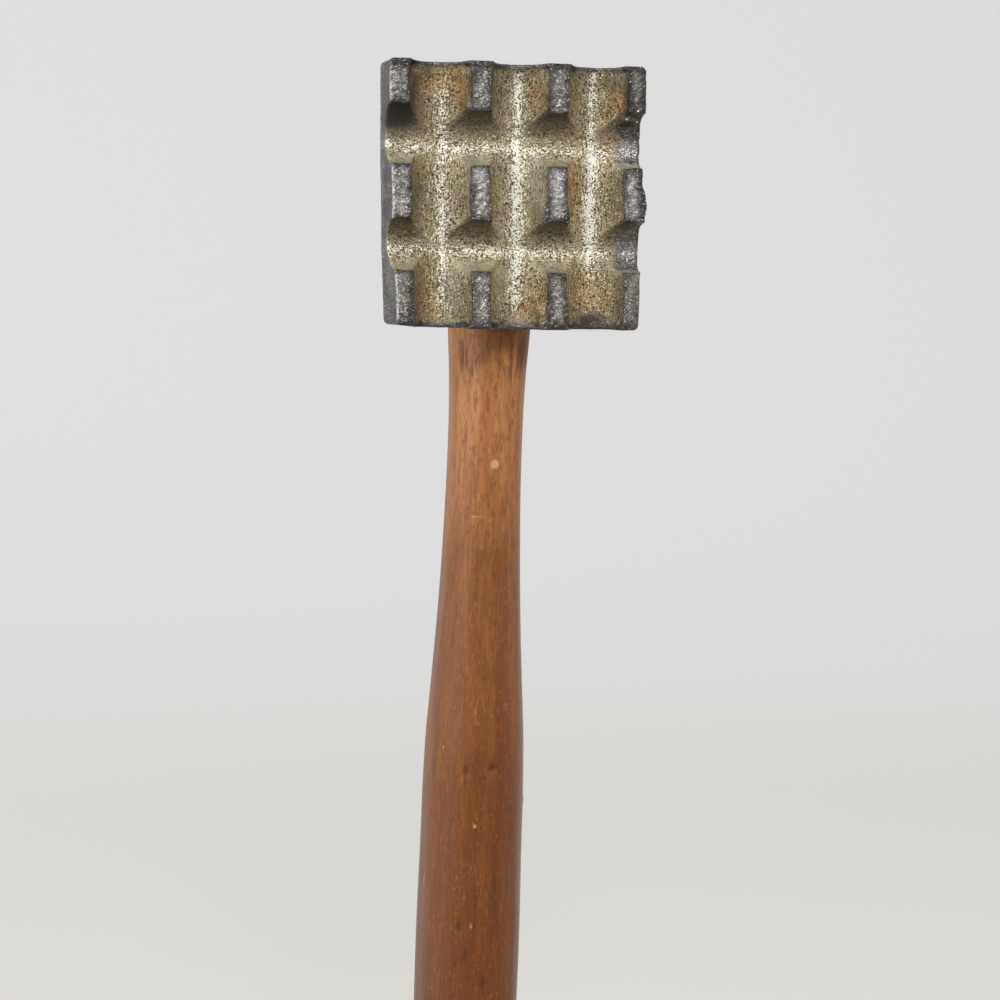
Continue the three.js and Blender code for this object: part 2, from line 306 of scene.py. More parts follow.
TOOTH_SHIFTS = [  # across, above the lower edge, and how far the tooth's sides stand off to the right and up
    (-9.4, 57.0, 0.6, -1.0), (9.6, 57.0, 0.5, -1.1), (28.5, 57.0, 0.7, -0.3), (-28.4, 57.0, 0.2, 0.3),
    (-28.0, 6.0, 0.5, 0.25), (-9.0, 6.0, 0.7, 0.25), (9.3, 6.0, 0.45, 0.1), (28.5, 6.0, 0.4, 0.1),
    (9.4, 31.0, 0.3, 0.1), (-9.4, 31.0, 0.4, 0.0), (-28.4, 31.0, 0.3, 0.0),
]
CORNER_TOOTH_SLOPE = 0.34
CORNER_TOOTH_RIDGE = 26.4
CORNER_TOOTH_TOP = 13.0
print("blows on the face:", len(BLOWS), "and teeth off their places:", len(TOOTH_SHIFTS))

# %% Soft spots and facets
FACET_TABLE = 64
FACET_TILT = 1.6


def blow(x, up, across, height, reach_across, reach_up, depth):
    """A soft hill or hollow: depth times e to the minus (distance over reach) squared."""
    return depth * np.exp(-((x - across) / reach_across) ** 2 - ((up - height) / reach_up) ** 2)


def spots(x, up, places):
    """All the hills and hollows of a table added up."""
    return sum(blow(x, up, *place) for place in places)


def facets(x, up, size, seed):
    """Flat chips of random tilt, as hammering leaves: each place takes the height and slope of its nearest
    seed point. The seeds are a square grid with each point shifted at random."""
    table = np.random.default_rng(seed).random((FACET_TABLE, FACET_TABLE, 5))
    column = np.floor(x / size).astype(int)
    row = np.floor(up / size).astype(int)
    best = np.full(x.shape, np.inf)
    height = np.zeros(x.shape)
    for step_x, step_up in np.ndindex(3, 3):
        seed_column = column + step_x - 1
        seed_row = row + step_up - 1
        drawn = table[seed_column % FACET_TABLE, seed_row % FACET_TABLE]
        shift_x, shift_up, level, tilt_x, tilt_up = np.moveaxis(drawn, -1, 0)
        away_x = x / size - seed_column - shift_x
        away_up = up / size - seed_row - shift_up
        distance = away_x ** 2 + away_up ** 2
        nearer = distance < best
        best = np.where(nearer, distance, best)
        slope = (tilt_x - 0.5) * away_x + (tilt_up - 0.5) * away_up
        height = np.where(nearer, level + FACET_TILT * slope, height)
    return height


print("heights of four neighbouring facets:", facets(np.arange(4.0), np.zeros(4), 1.0, 5).round(2))

# %% The outline of the face
EDGES = np.array([  # above the lower edge, left edge and right edge at the teeth, left and right at the back
    (0.0, -29.2, 30.7, -30.2, 30.4), (8.0, -29.3, 31.0, -30.4, 30.7), (12.5, -29.7, 31.0, -30.6, 30.8),
    (18.0, -30.4, 31.9, -30.8, 31.0), (31.0, -30.35, 31.05, -31.0, 31.1), (36.5, -30.6, 30.8, -31.1, 31.2),
    (44.0, -31.05, 32.1, -31.2, 31.3), (50.5, -31.1, 31.55, -31.2, 31.3), (56.0, -31.1, 31.5, -31.2, 31.3),
    (62.0, -31.1, 31.4, -31.2, 31.3),
])


def outline_scale(x, up, at_back=False):
    """How much wider the old plate is than the drawn one, at a height, on the side where x lies."""
    left, right = (3, 4) if at_back else (1, 2)
    level = np.clip(up, 0, FACE_HEIGHT)
    reach = np.where(x < 0, -smooth_curve(level, EDGES[:, 0], EDGES[:, left]),
                     smooth_curve(level, EDGES[:, 0], EDGES[:, right]))
    return reach / face_half_width(up)


def face_half_width(up):
    """Half the drawn plate's width at a height above its lower edge."""
    return (FACE_BOTTOM_WIDTH + (FACE_TOP_WIDTH - FACE_BOTTOM_WIDTH) * up / FACE_HEIGHT) / 2


def column_middles(up):
    """Where the middle lines of the upright grooves run at a height. They fan out with the plate's width."""
    half = face_half_width(up)
    tooth = (2 * half - (TOOTH_COLUMNS - 1) * COLUMN_GROOVE_WIDTH) / TOOTH_COLUMNS
    return [-half + (k + 1) * tooth + (k + 0.5) * COLUMN_GROOVE_WIDTH for k in range(TOOTH_COLUMNS - 1)]


print("columns run at", [round(float(middle), 2) for middle in column_middles(31.0)], "mm half way up")

# %% The whole face
UPPER_GROOVE_MIDDLE = FACE_HEIGHT - TOP_TOOTH - UPPER_ROW_GROOVE / 2
LOWER_GROOVE_MIDDLE = FACE_HEIGHT - TOP_TOOTH - UPPER_ROW_GROOVE - MIDDLE_TOOTH - LOWER_ROW_GROOVE / 2
TOOTH_EDGE_SOFTNESS = 0.3
VALLEY_SOFTNESS = 0.45
TOOTH_REACH_ACROSS = 6.0
TOOTH_REACH_UP = 10.5
WANDER = 0.3
FLOOR_WAVES = 0.3
CORNER_SOFTNESS = 0.3
BATTERING = 0.26
FINE_BATTERING = 0.16
FACET_SIZE = 1.1
HIGHEST_METAL = 0.03
RUN_OUT_RISE = 0.14
RUN_OUT_REACH = 5.0
WORN_END = 2.0
WORN_CORNERS = (-3.0, -2.0, -1.0, 0.0, 1.0, 2.0, 3.0)


def shift_teeth(x, up):
    """Reads the grooves a little to one side around each tooth that stands off its place: the shift times e to
    the minus (distance over reach) to the fourth."""
    for across, height, right, upwards in TOOTH_SHIFTS:
        near = np.exp(-((x - across) / TOOTH_REACH_ACROSS) ** 4 - ((up - height) / TOOTH_REACH_UP) ** 4)
        x = x - right * near
        up = up - upwards * near
    return x, up


def face_depth(x, up):
    """How far the metal lies behind the tooth-top plane: the deepest of all grooves at each place, changed by
    the blows, never above the tooth tops. Grooves get shallower where they run out at the plate's edge, and
    the corners of the teeth are worn round along its upper and lower ends."""
    places = np.stack([x, up, np.zeros_like(x)], axis=-1)
    x_cast, up_cast = shift_teeth(x, up)
    x_cast = x_cast + WANDER * (noise(places, 8.0, 2.5) + noise(places, 2.2, 6.1) - 1)
    up_cast = up_cast + WANDER * (noise(places, 8.0, 9.5) + noise(places, 2.2, 1.7) - 1)
    middles = column_middles(up)
    columns, worn_columns = (
        np.mean([
            np.max([groove_depth(x_cast + shift - middle, COLUMN_GROOVE_WIDTH) for middle in middles], axis=0)
            for shift in shifts
        ], axis=0)
        for shifts in ((0.0,), WORN_CORNERS)
    )
    worn = 1 - ease(np.minimum(up, FACE_HEIGHT - up), 0.0, WORN_END)
    columns = columns + (worn_columns - columns) * worn
    upper = groove_depth(up_cast - UPPER_GROOVE_MIDDLE, UPPER_ROW_GROOVE)
    lower = groove_depth(up_cast - LOWER_GROOVE_MIDDLE, LOWER_ROW_GROOVE)
    depth = soft_max(columns, np.maximum(upper, lower), VALLEY_SOFTNESS)
    from_edge = np.minimum.reduce([face_half_width(up) - np.abs(x), up, FACE_HEIGHT - up])
    depth = depth * (1 - RUN_OUT_RISE * (1 - ease(from_edge, 0, RUN_OUT_REACH)))
    depth = depth + FLOOR_WAVES * (noise(places, 2.6, 4.4) - 0.5) * ease(depth, 1, 4) + spots(x, up, BLOWS)
    corner_slope = CORNER_TOOTH_SLOPE * (x - CORNER_TOOTH_RIDGE) - 3 * np.maximum(up - CORNER_TOOTH_TOP, 0)
    depth = soft_max(depth, corner_slope, CORNER_SOFTNESS)
    battered = BATTERING * np.clip(facets(x, up, FACET_SIZE, 21), 0, 1.4)
    battered = battered + FINE_BATTERING * facets(x, up, FACET_SIZE / 2, 8)
    return np.maximum(soft_max(depth, battered, TOOTH_EDGE_SOFTNESS), HIGHEST_METAL)


sample_up = np.array([31.0, 31.0, UPPER_GROOVE_MIDDLE])
print("depth on a tooth, in a groove and at a crossing:",
      face_depth(np.array([-9.4, 0.0, 0.0]), sample_up).round(2))

# %% [markdown]
# ## The grid of the face
# A grid of 240 by 240 cells carries the landscape. Its lines stand closer together near the tooth edges, where
# the shape changes fastest. The outer lines are rolled over the plate's rounded edge, and the four corners are
# squeezed from a square into a quarter circle.

# %% Grid lines and the rolled edge
FACE_CELLS = 240
WALK_STEPS = 4001
CROWDING = 1.7
CROWDED_REACH = 0.9
EDGE_ROUND = 0.9
CORNER_ROUND = 1.4
MEAN_HALF_WIDTH = (FACE_TOP_WIDTH + FACE_BOTTOM_WIDTH) / 4
HALF_HEIGHT = FACE_HEIGHT / 2


def crowded_lines(half_length, crowded_places):
    """Lines across a face, crowded near some places. The distance is walked past the flat part and down the
    rounded edge, and each step counts for more where the density 1 + c e^-(d / reach)^2 is high."""
    limit = half_length - EDGE_ROUND + EDGE_ROUND * math.pi / 2
    walk = np.linspace(-limit, limit, WALK_STEPS)
    crowd = sum(np.exp(-((walk - place) / CROWDED_REACH) ** 2) for place in crowded_places)
    density = 1 + CROWDING * crowd
    walked = np.concatenate([[0], np.cumsum((density[1:] + density[:-1]) / 2)])
    return np.interp(np.linspace(0, walked[-1], FACE_CELLS + 1), walked, walk)


def roll_over(walk, half_length):
    """A walked distance to a place and an angle: straight on the flat, then along a quarter circle."""
    flat = half_length - EDGE_ROUND
    angle = np.clip((np.abs(walk) - flat) / EDGE_ROUND, 0, math.pi / 2)
    place = np.where(angle > 0, flat + EDGE_ROUND * np.sin(angle), np.abs(walk))
    return np.sign(walk) * place, angle


def round_corner(x, up):
    """Squeezes each corner square of the plate into a quarter circle: with a and b the shares of the square
    across and up, the place becomes a sqrt(1 - b^2 / 2), b sqrt(1 - a^2 / 2)."""
    half = face_half_width(up)
    inner_x = half - CORNER_ROUND
    inner_up = HALF_HEIGHT - CORNER_ROUND
    a = np.clip((np.abs(x) - inner_x) / CORNER_ROUND, 0, 1)
    b = np.clip((np.abs(up - HALF_HEIGHT) - inner_up) / CORNER_ROUND, 0, 1)
    corner = (a > 0) & (b > 0)
    new_x = inner_x + CORNER_ROUND * a * np.sqrt(1 - b ** 2 / 2)
    new_up = inner_up + CORNER_ROUND * b * np.sqrt(1 - a ** 2 / 2)
    rounded_x = np.where(corner, np.sign(x) * new_x, x)
    rounded_up = np.where(corner, HALF_HEIGHT + np.sign(up - HALF_HEIGHT) * new_up, up)
    return rounded_x, rounded_up


tooth_sides = [middle + side * COLUMN_GROOVE_WIDTH / 2
               for middle in column_middles(HALF_HEIGHT) for side in (-1, 1)]
level_grooves = ((UPPER_GROOVE_MIDDLE, UPPER_ROW_GROOVE), (LOWER_GROOVE_MIDDLE, LOWER_ROW_GROOVE))
tooth_ends = [middle + side * width / 2 - HALF_HEIGHT for middle, width in level_grooves for side in (-1, 1)]
walk_x, walk_up = np.meshgrid(
    crowded_lines(MEAN_HALF_WIDTH, [-MEAN_HALF_WIDTH, *tooth_sides, MEAN_HALF_WIDTH]),
    crowded_lines(HALF_HEIGHT, [-HALF_HEIGHT, *tooth_ends, HALF_HEIGHT]),
)
print("the finest and widest steps across, in mm:",
      np.diff(walk_x[0]).min().round(3), np.diff(walk_x[0]).max().round(3))

# %% The front of the plate
LIP_MIDDLE = 30.0
LIP_DEPTH = 6.5
LIP_REACH = 3.0
LIP_WIDTH = 0.9
LIP_START = 26.0
SMALL_LIP = (36.3, 1.5, 0.2)
SAGGED_EDGE = 0.5
LIFTED_CORNER = 0.45
BATTERED_TOP = 0.08
SIDES_MOVE = (20, 30)  # across: the sides stay inside the first and move in full beyond the second
CORNER_LIFTS = (-30, -22)
EDGE_SAGS = (-32, 5)
LOWER_END = (0, 3)
UPPER_END = (55, 62)


def settle(x, up, at_back=False):
    """From the drawn plate to the old one: the sides move out to their measured edges, each place in
    proportion to how near it is to them, the lower edge sags a little and its left corner is lifted."""
    share = ease(np.abs(x), *SIDES_MOVE)
    new_x = x * (1 + (outline_scale(x, up, at_back) - 1) * share)
    lift = LIFTED_CORNER * (1 - ease(x, *CORNER_LIFTS)) - SAGGED_EDGE * ease(x, *EDGE_SAGS)
    return new_x, up + lift * (1 - ease(up, *LOWER_END)) - BATTERED_TOP * ease(up, *UPPER_END)


flat_x, angle_x = roll_over(walk_x, MEAN_HALF_WIDTH)
flat_up, angle_up = roll_over(walk_up, HALF_HEIGHT)
front_up = flat_up + HALF_HEIGHT
front_x = flat_x * face_half_width(front_up) / MEAN_HALF_WIDTH
front_x, front_up = round_corner(front_x, front_up)
edge_drop = EDGE_ROUND * (1 - np.cos(angle_x) * np.cos(angle_up))
front_depth = face_depth(front_x.ravel(), front_up.ravel()).reshape(front_x.shape) + edge_drop
small_middle, small_reach, small_width = SMALL_LIP
lip = LIP_WIDTH * np.exp(-((front_up - LIP_MIDDLE) / LIP_REACH) ** 4)
lip = lip + small_width * np.exp(-((front_up - small_middle) / small_reach) ** 2)
lip = lip * np.clip((front_x - LIP_START) / 4, 0, 1) ** 2 * np.clip(1 - front_depth / LIP_DEPTH, 0, 1)
settled_x, settled_up = settle(front_x, front_up)
front = np.stack([settled_x + lip, front_depth - TOOTH_TOPS_TO_AXIS, settled_up - HUB_INSET], axis=-1)
print("deepest groove", front_depth.max().round(2), "mm, highest tooth", front_depth.min().round(3), "mm")

# %% [markdown]
# ## The body behind the face
# From the plate's edge the skin goes back round the sides and turns over the rear edge. Then it runs inwards
# to a cove, along the waist around the eye, and ends in a plain poll. All of this is one stack of rings, each
# a mix of the plate's outline and a rounded rectangle. The side rings need every point of the face's edge, but
# the back doesn't, so one row of seven-sided faces joins four points to one.

# %% Sizes of the body
REAR_EDGE_ROUND = 0.9
SIDE_STEPS = 7
EDGE_STEPS = 3
PLATE_BACK_STEPS = 10
COVE_STEPS = 9
WAIST_STEPS = 20
BLEND_STEPS = 8
POLL_STEPS = 4
POLL_EDGE_STEPS = 5
POLL_FACE_STEPS = 12
POINTS_PER_COARSE_POINT = 4
EYE_WIDTH = 18.4
EYE_DEPTH = 23.6
EYE_TOP_FLARE = 0.9
EYE_SIDE_WALL = 8.0
EYE_REAR_WALL = 5.0
COVE_FOOT_WIDTH = 48.0
COVE_FOOT_HEIGHT = 56.0
COVE_DEPTH = 6.0
POLL_BLEND = 7.0
POLL_WIDTH = 38.0
POLL_HEIGHT = 42.0
POLL_FACE = 25.0
POLL_EDGE_ROUND = 1.6
HUB_SQUARENESS = 4.6
WAIST_WIDTH = EYE_WIDTH + 2 * EYE_TOP_FLARE + 2 * EYE_SIDE_WALL
EYE_BACK = EYE_DEPTH / 2 + EYE_REAR_WALL
print("the waist around the eye is", WAIST_WIDTH, "mm wide")


# %% Rings of the body
def superellipse(width, height, squareness, angles):
    """Points of |x / a|^n + |z / b|^n = 1 in the given directions: an oval at n = 2, squarer as n grows."""
    reach = (np.abs(np.cos(angles)) / (width / 2)) ** squareness
    reach = reach + (np.abs(np.sin(angles)) / (height / 2)) ** squareness
    radius = reach ** (-1 / squareness)
    return np.stack([radius * np.cos(angles), radius * np.sin(angles)], axis=-1)


def even_shares(count):
    """Shares from just after 0 to 1 in even steps."""
    return np.linspace(0, 1, count + 1)[1:]


def edge_loop(grid):
    """The border of a grid as one closed loop, anticlockwise seen from behind."""
    return np.concatenate([grid[0, :-1], grid[:-1, -1], grid[-1, :0:-1], grid[:0:-1, 0]])[::-1]


rim = edge_loop(front)
drawn_rim = edge_loop(np.stack([front_x, front_up], axis=-1))
outline_x, rim_up = settle(drawn_rim[:, 0], drawn_rim[:, 1], at_back=True)
rear_outline = np.stack([outline_x, rim_up - HALF_HEIGHT], axis=-1)

side_rings = []
for share in even_shares(SIDE_STEPS):
    across = rim[:, 0] + (outline_x - rim[:, 0]) * share
    back = rim[:, 1] + (PLATE_BACK - REAR_EDGE_ROUND - rim[:, 1]) * share
    side_rings.append(np.stack([across, back, rim[:, 2]], axis=-1))
print("points in the rim:", len(rim), "and rings on the side:", len(side_rings))

# %% Coarse rings over the rear edge
coarse_outline = rear_outline[::POINTS_PER_COARSE_POINT]
directions = np.arctan2(coarse_outline[:, 1], coarse_outline[:, 0])


def body_ring(outline, back):
    """A ring at one distance back, with its middle at half the plate's height."""
    height = outline[:, 1] + HALF_HEIGHT - HUB_INSET
    return np.stack([outline[:, 0], np.full(len(outline), back), height], axis=-1)


def quarter_turns(count):
    """The cosine and sine of even steps round a quarter circle."""
    return [(math.cos(share * math.pi / 2), math.sin(share * math.pi / 2)) for share in even_shares(count)]


foot = superellipse(COVE_FOOT_WIDTH, COVE_FOOT_HEIGHT, HUB_SQUARENESS, directions)
back_rings = []
for cosine, sine in quarter_turns(EDGE_STEPS):
    shrink = 1 - REAR_EDGE_ROUND * (1 - cosine) / HALF_HEIGHT
    back_rings.append(body_ring(coarse_outline * shrink, PLATE_BACK - REAR_EDGE_ROUND * (1 - sine)))
flat_edge = back_rings[-1][:, [0, 2]] - [0, HALF_HEIGHT - HUB_INSET]
for share in even_shares(PLATE_BACK_STEPS):
    back_rings.append(body_ring(flat_edge + (foot - flat_edge) * share, PLATE_BACK))
print("rings to the foot of the cove:", len(back_rings))

# %% Coarse rings to the poll
waist_start = PLATE_BACK + COVE_DEPTH
waist_end = EYE_BACK - POLL_BLEND / 2
poll_start = waist_end + POLL_BLEND
edge_start = POLL_FACE - POLL_EDGE_ROUND
sections = []  # width, height and distance back of each rounded rectangle
for cosine, sine in quarter_turns(COVE_STEPS):
    width = WAIST_WIDTH + (COVE_FOOT_WIDTH - WAIST_WIDTH) * (1 - sine)
    height = HUB_HEIGHT + (COVE_FOOT_HEIGHT - HUB_HEIGHT) * (1 - sine)
    sections.append((width, height, PLATE_BACK + COVE_DEPTH * (1 - cosine)))
for share in even_shares(WAIST_STEPS):
    sections.append((WAIST_WIDTH, HUB_HEIGHT, waist_start + (waist_end - waist_start) * share))
for share in even_shares(BLEND_STEPS):
    eased = ease(share, 0, 1)
    width = WAIST_WIDTH + (POLL_WIDTH - WAIST_WIDTH) * eased
    height = HUB_HEIGHT + (POLL_HEIGHT - HUB_HEIGHT) * eased
    sections.append((width, height, waist_end + POLL_BLEND * share))
for share in even_shares(POLL_STEPS):
    sections.append((POLL_WIDTH, POLL_HEIGHT, poll_start + (edge_start - poll_start) * share))
for cosine, sine in quarter_turns(POLL_EDGE_STEPS):
    inset = 2 * POLL_EDGE_ROUND * (1 - cosine)
    sections.append((POLL_WIDTH - inset, POLL_HEIGHT - inset, POLL_FACE - POLL_EDGE_ROUND * (1 - sine)))
for share in even_shares(POLL_FACE_STEPS)[:-1]:
    flat_width = POLL_WIDTH - 2 * POLL_EDGE_ROUND
    flat_height = POLL_HEIGHT - 2 * POLL_EDGE_ROUND
    sections.append((flat_width * (1 - share), flat_height * (1 - share), POLL_FACE))
for width, height, back in sections:
    back_rings.append(body_ring(superellipse(width, height, HUB_SQUARENESS, directions), back))
print("rings on the back:", len(back_rings), "of", len(directions), "points each")

# %% Sew the head together
front_numbers = np.arange(front[..., 0].size).reshape(front.shape[:2])
face_faces = np.stack([
    front_numbers[:-1, :-1], front_numbers[:-1, 1:], front_numbers[1:, 1:], front_numbers[1:, :-1],
], axis=-1).reshape(-1, 4)
rim_numbers = edge_loop(front_numbers)
next_number = front_numbers.size
side_numbers = next_number + np.arange(len(side_rings) * len(rim)).reshape(len(side_rings), len(rim))
next_number += side_numbers.size
coarse_numbers = next_number + np.arange(len(back_rings) * len(directions)).reshape(len(back_rings), -1)
next_number += coarse_numbers.size

fine_edge = side_numbers[-1].reshape(-1, POINTS_PER_COARSE_POINT)
joining_faces = np.column_stack([
    fine_edge, np.roll(fine_edge[:, 0], -1), np.roll(coarse_numbers[0], -1), coarse_numbers[0],
])
head_points = np.vstack([front.reshape(-1, 3), *side_rings, *back_rings, [[0, POLL_FACE, HALF_HEIGHT - HUB_INSET]]])
head_faces = [
    *face_faces.tolist(),
    *ring_faces(np.vstack([rim_numbers, side_numbers])).tolist(),
    *joining_faces.tolist(),
    *ring_faces(coarse_numbers).tolist(),
    *fan_faces(coarse_numbers[-1], next_number, True).tolist(),
]
head = make_piece("cast_head", head_points, head_faces)
print("the head has", len(head.data.vertices), "points and", len(head.data.polygons), "faces")

# %% [markdown]
# ## The eye and the skin of the casting
# The eye is an oval hole with soft mouths, cut by a boolean. The rest of the skin gets the faint lumps that
# sand leaves on a casting. They only go inwards, so the head keeps its size.

# %% Cut the eye
OVAL_SIDES = 96
HANDLE_SQUARENESS = 2.25
MOUTH_ROUND = 0.7
EYE_HEIGHTS = [-3, 0, 0.2, 0.45, 0.7, 13, 26, 39, 51.3, 51.55, 51.8, 52, 55]
oval_turns = np.linspace(0, 2 * math.pi, OVAL_SIDES, endpoint=False)


def oval_ring(width, depth, height, turns=oval_turns):
    """A level ring with the handle's oval section."""
    flat = superellipse(width, depth, HANDLE_SQUARENESS, turns)
    return np.column_stack([flat, np.full(len(turns), height)])


def eye_widening(height):
    """How much wider the eye is at a height than at its waist: it flares to the top, and both mouths are soft."""
    flare = 2 * EYE_TOP_FLARE * max(height / HUB_HEIGHT - 0.5, 0) / 0.5
    from_mouth = min(max(height, 0), max(HUB_HEIGHT - height, 0))
    return flare, 2 * MOUTH_ROUND * max(1 - from_mouth / MOUTH_ROUND, 0) ** 2


eye_rings = []
for height in EYE_HEIGHTS:
    flare, mouth = eye_widening(height)
    eye_rings.append(oval_ring(EYE_WIDTH + flare + mouth, EYE_DEPTH + mouth, height))
apply_cut(head, ring_piece("eye_cutter", np.array(eye_rings)))
print("faces of the head with its eye:", len(head.data.polygons))

# %% Sand-cast skin
LUMPS = 0.14
SWELLS = 0.1
SAND_GRAIN = 0.08
POLL_DENTS = 0.25
POLL_FACET_SIZE = 3.4
SKIN_FADES_IN = 3.0
DENTS_FADE_IN = 1.2
points = get_points(head)
behind_face = np.clip((points[:, 1] + TOOTH_TOPS_TO_AXIS - 1) / SKIN_FADES_IN, 0, 1)
lumps = LUMPS * layered_noise(points, 2.6, 2, 4.1) + SWELLS * noise(points, 9.0, 1.3)
grain = SAND_GRAIN * layered_noise(points, 0.75, 2, 8.8)
poll_dents = POLL_DENTS * np.clip(facets(points[:, 0] + 90, points[:, 2] + 90, POLL_FACET_SIZE, 3), 0, 1)
poll_dents = poll_dents * np.clip((points[:, 1] - POLL_FACE + DENTS_FADE_IN) / DENTS_FADE_IN, 0, 1)
push_out(head, -behind_face * (lumps + grain + poll_dents))
print("the skin goes in by", (behind_face * (lumps + grain)).mean().round(3), "mm on average")

# %% [markdown]
# ## Where the finishes lie
# Grease and meat juice have dried in the grooves, and the high places are rubbed bare. Where each finish lies
# is worked out once for each point of the mesh and kept as an attribute, so it follows the shape exactly. The
# materials then break its edges up with fine noise. The places that no rule gives are soft spots, given one by one.

# %% Places of the finishes
RUST_SPOTS = [  # across, above the lower edge, reach across, reach up, strength
    (-17.6, 58.0, 3.4, 3.2, 1.0), (-13.2, 55.5, 1.5, 4.6, 0.8), (-22.8, 52.0, 1.6, 4.5, 0.55),
    (-21.4, 6.5, 2.6, 4.5, 0.8), (15.0, 33.5, 1.9, 5.5, 1.0), (18.4, 8.0, 3.6, 5.5, 0.75),
    (25.6, 54.0, 1.5, 3.0, 0.9), (5.4, 54.0, 1.8, 4.0, 0.5), (22.3, 50.0, 2.2, 3.0, 0.35),
    (5.4, 6.0, 2.2, 4.0, 0.6),
]
ORANGE_SPOTS = [(3.2, 4.9, 0.8, 1.0, 1.2), (26.2, 53.0, 0.6, 1.6, 0.6), (19.4, 6.0, 0.6, 0.5, 0.8)]
# Spots of bright grit and painted highlight
GRIT_AND_HIGHLIGHT_PLACES = [
    (-18.9, 60.4, 1.0, 1.2, 0.8), (20.4, 60.0, 1.2, 1.3, 0.6), (-30.0, 42.4, 2.4, 0.9, 0.5),
    (27.2, 49.6, 0.7, 0.45, 1.8), (29.2, 51.4, 0.35, 0.35, 1.6), (25.4, 48.7, 0.9, 0.3, 1.3),
    (30.2, 49.2, 0.5, 0.4, 1.2),
]
SOOT_AND_SHADE_PLACES = [
    (-28.8, 48.4, 4.8, 2.8, 2.0), (-25.2, 55.5, 2.3, 7.5, 1.5), (-23.0, 31.0, 1.8, 8.0, 0.45),
    (-22.6, 8.0, 1.8, 9.0, 0.55), (-21.0, 60.0, 1.3, 1.4, 0.7), (-12.0, 55.5, 1.6, 5.0, 0.3),
    (24.8, 58.0, 1.4, 2.0, 0.6), (26.95, 55.0, 0.5, 5.0, 1.4), (24.6, 31.0, 1.4, 7.0, 0.3),
    (29.0, 46.0, 3.0, 2.6, 0.45), (25.6, 15.5, 3.0, 3.0, 0.4), (26.0, 7.0, 0.9, 5.0, 0.7),
    (19.8, 1.6, 3.0, 1.8, 3.0),
]
CALM_AND_LIT_PLACES = [
    (5.4, 32.0, 1.9, 8.0, 1.0), (-11.7, 31.0, 0.4, 6.0, 0.9), (-14.6, 9.0, 1.6, 6.0, 0.7),
    (-18.9, 60.2, 1.4, 1.5, 1.3), (-2.6, 10.0, 1.6, 6.0, 0.8), (-3.4, 31.0, 1.4, 7.0, 0.35),
    (-11.0, 31.0, 1.6, 8.0, 0.25),
]
# Rubbed places, partly painted highlights where the upper ends of the middle teeth catch the light
POLISH_AND_HIGHLIGHT_PLACES = [  # a minus is a dull place
    (-28.2, 31.0, 3.5, 6.0, 0.05), (-9.6, 30.0, 3.5, 7.0, 0.3), (9.0, 30.0, 3.5, 7.0, 0.4),
    (-10.2, 35.6, 1.4, 1.6, 0.9), (8.6, 35.0, 1.5, 2.2, 0.9), (28.4, 32.0, 3.0, 5.0, 0.3),
    (29.2, 55.0, 3.0, 7.0, -0.8), (27.0, 55.5, 0.8, 6.0, -0.8), (-28.3, 55.0, 3.0, 7.0, -0.55),
    (-28.3, 60.0, 3.0, 1.6, -0.6), (-9.4, 60.6, 3.0, 1.6, -0.5), (-9.4, 55.0, 3.0, 6.0, -0.1),
    (9.6, 58.5, 3.0, 2.5, -0.3), (28.4, 6.0, 3.0, 6.0, 0.35), (-27.5, 6.0, 3.0, 7.0, -0.2),
    (-9.0, 6.0, 3.0, 7.0, -0.15), (9.5, 55.0, 3.0, 6.0, -0.15),
]
print("soft spots on the face:", sum(map(len, (RUST_SPOTS, ORANGE_SPOTS, GRIT_AND_HIGHLIGHT_PLACES, SOOT_AND_SHADE_PLACES,
                                               CALM_AND_LIT_PLACES, POLISH_AND_HIGHLIGHT_PLACES))))

# %% Where each point of the head lies
FACE_FINISH_ENDS = (8.0, 9.0)
UPPER_GROOVE_REACH = 7.6
UPPER_WALLS_RISE = 0.8


def fade(values, start, end):
    """A smooth step from 1 at start to 0 at end."""
    return 1 - ease(values, start, end)


def paint(piece, name, values):
    """Keeps one number for each point of the mesh under a name that a material can read."""
    layer = piece.data.attributes.new(name, "FLOAT", "POINT")
    layer.data.foreach_set("value", np.asarray(values, dtype=np.float32))


points = get_points(head)
across = points[:, 0]
depth = points[:, 1] + TOOTH_TOPS_TO_AXIS
up = points[:, 2] + HUB_INSET
left_edge, right_edge = (smooth_curve(np.clip(up, 0, FACE_HEIGHT), EDGES[:, 0], EDGES[:, k]) for k in (1, 2))
from_left = across - left_edge
from_right = right_edge - across
from_ends = np.minimum(up + 0.1, FACE_HEIGHT - up)
off_columns = np.array([across - middle for middle in column_middles(up)])
off_rows = np.array([up - UPPER_GROOVE_MIDDLE, up - LOWER_GROOVE_MIDDLE])
columns = np.abs(off_columns).min(axis=0)
rows = np.abs(off_rows).min(axis=0)
nearest_column = np.take_along_axis(off_columns, np.abs(off_columns).argmin(axis=0)[None], axis=0)[0]
in_upper_groove = np.abs(off_rows[0]) < UPPER_GROOVE_REACH
nearest_row = np.where(in_upper_groove, off_rows[0] + UPPER_WALLS_RISE, off_rows[1])
row_wall = ease(groove_depth(rows, UPPER_ROW_GROOVE) - groove_depth(columns, COLUMN_GROOVE_WIDTH), -0.3, 0.7)
on_plate = fade(depth, *FACE_FINISH_ENDS)
ragged = noise(points, 1.2) - 0.5
print("share of the head's points in the level grooves:", round(float((row_wall > 0.5).mean()), 2))

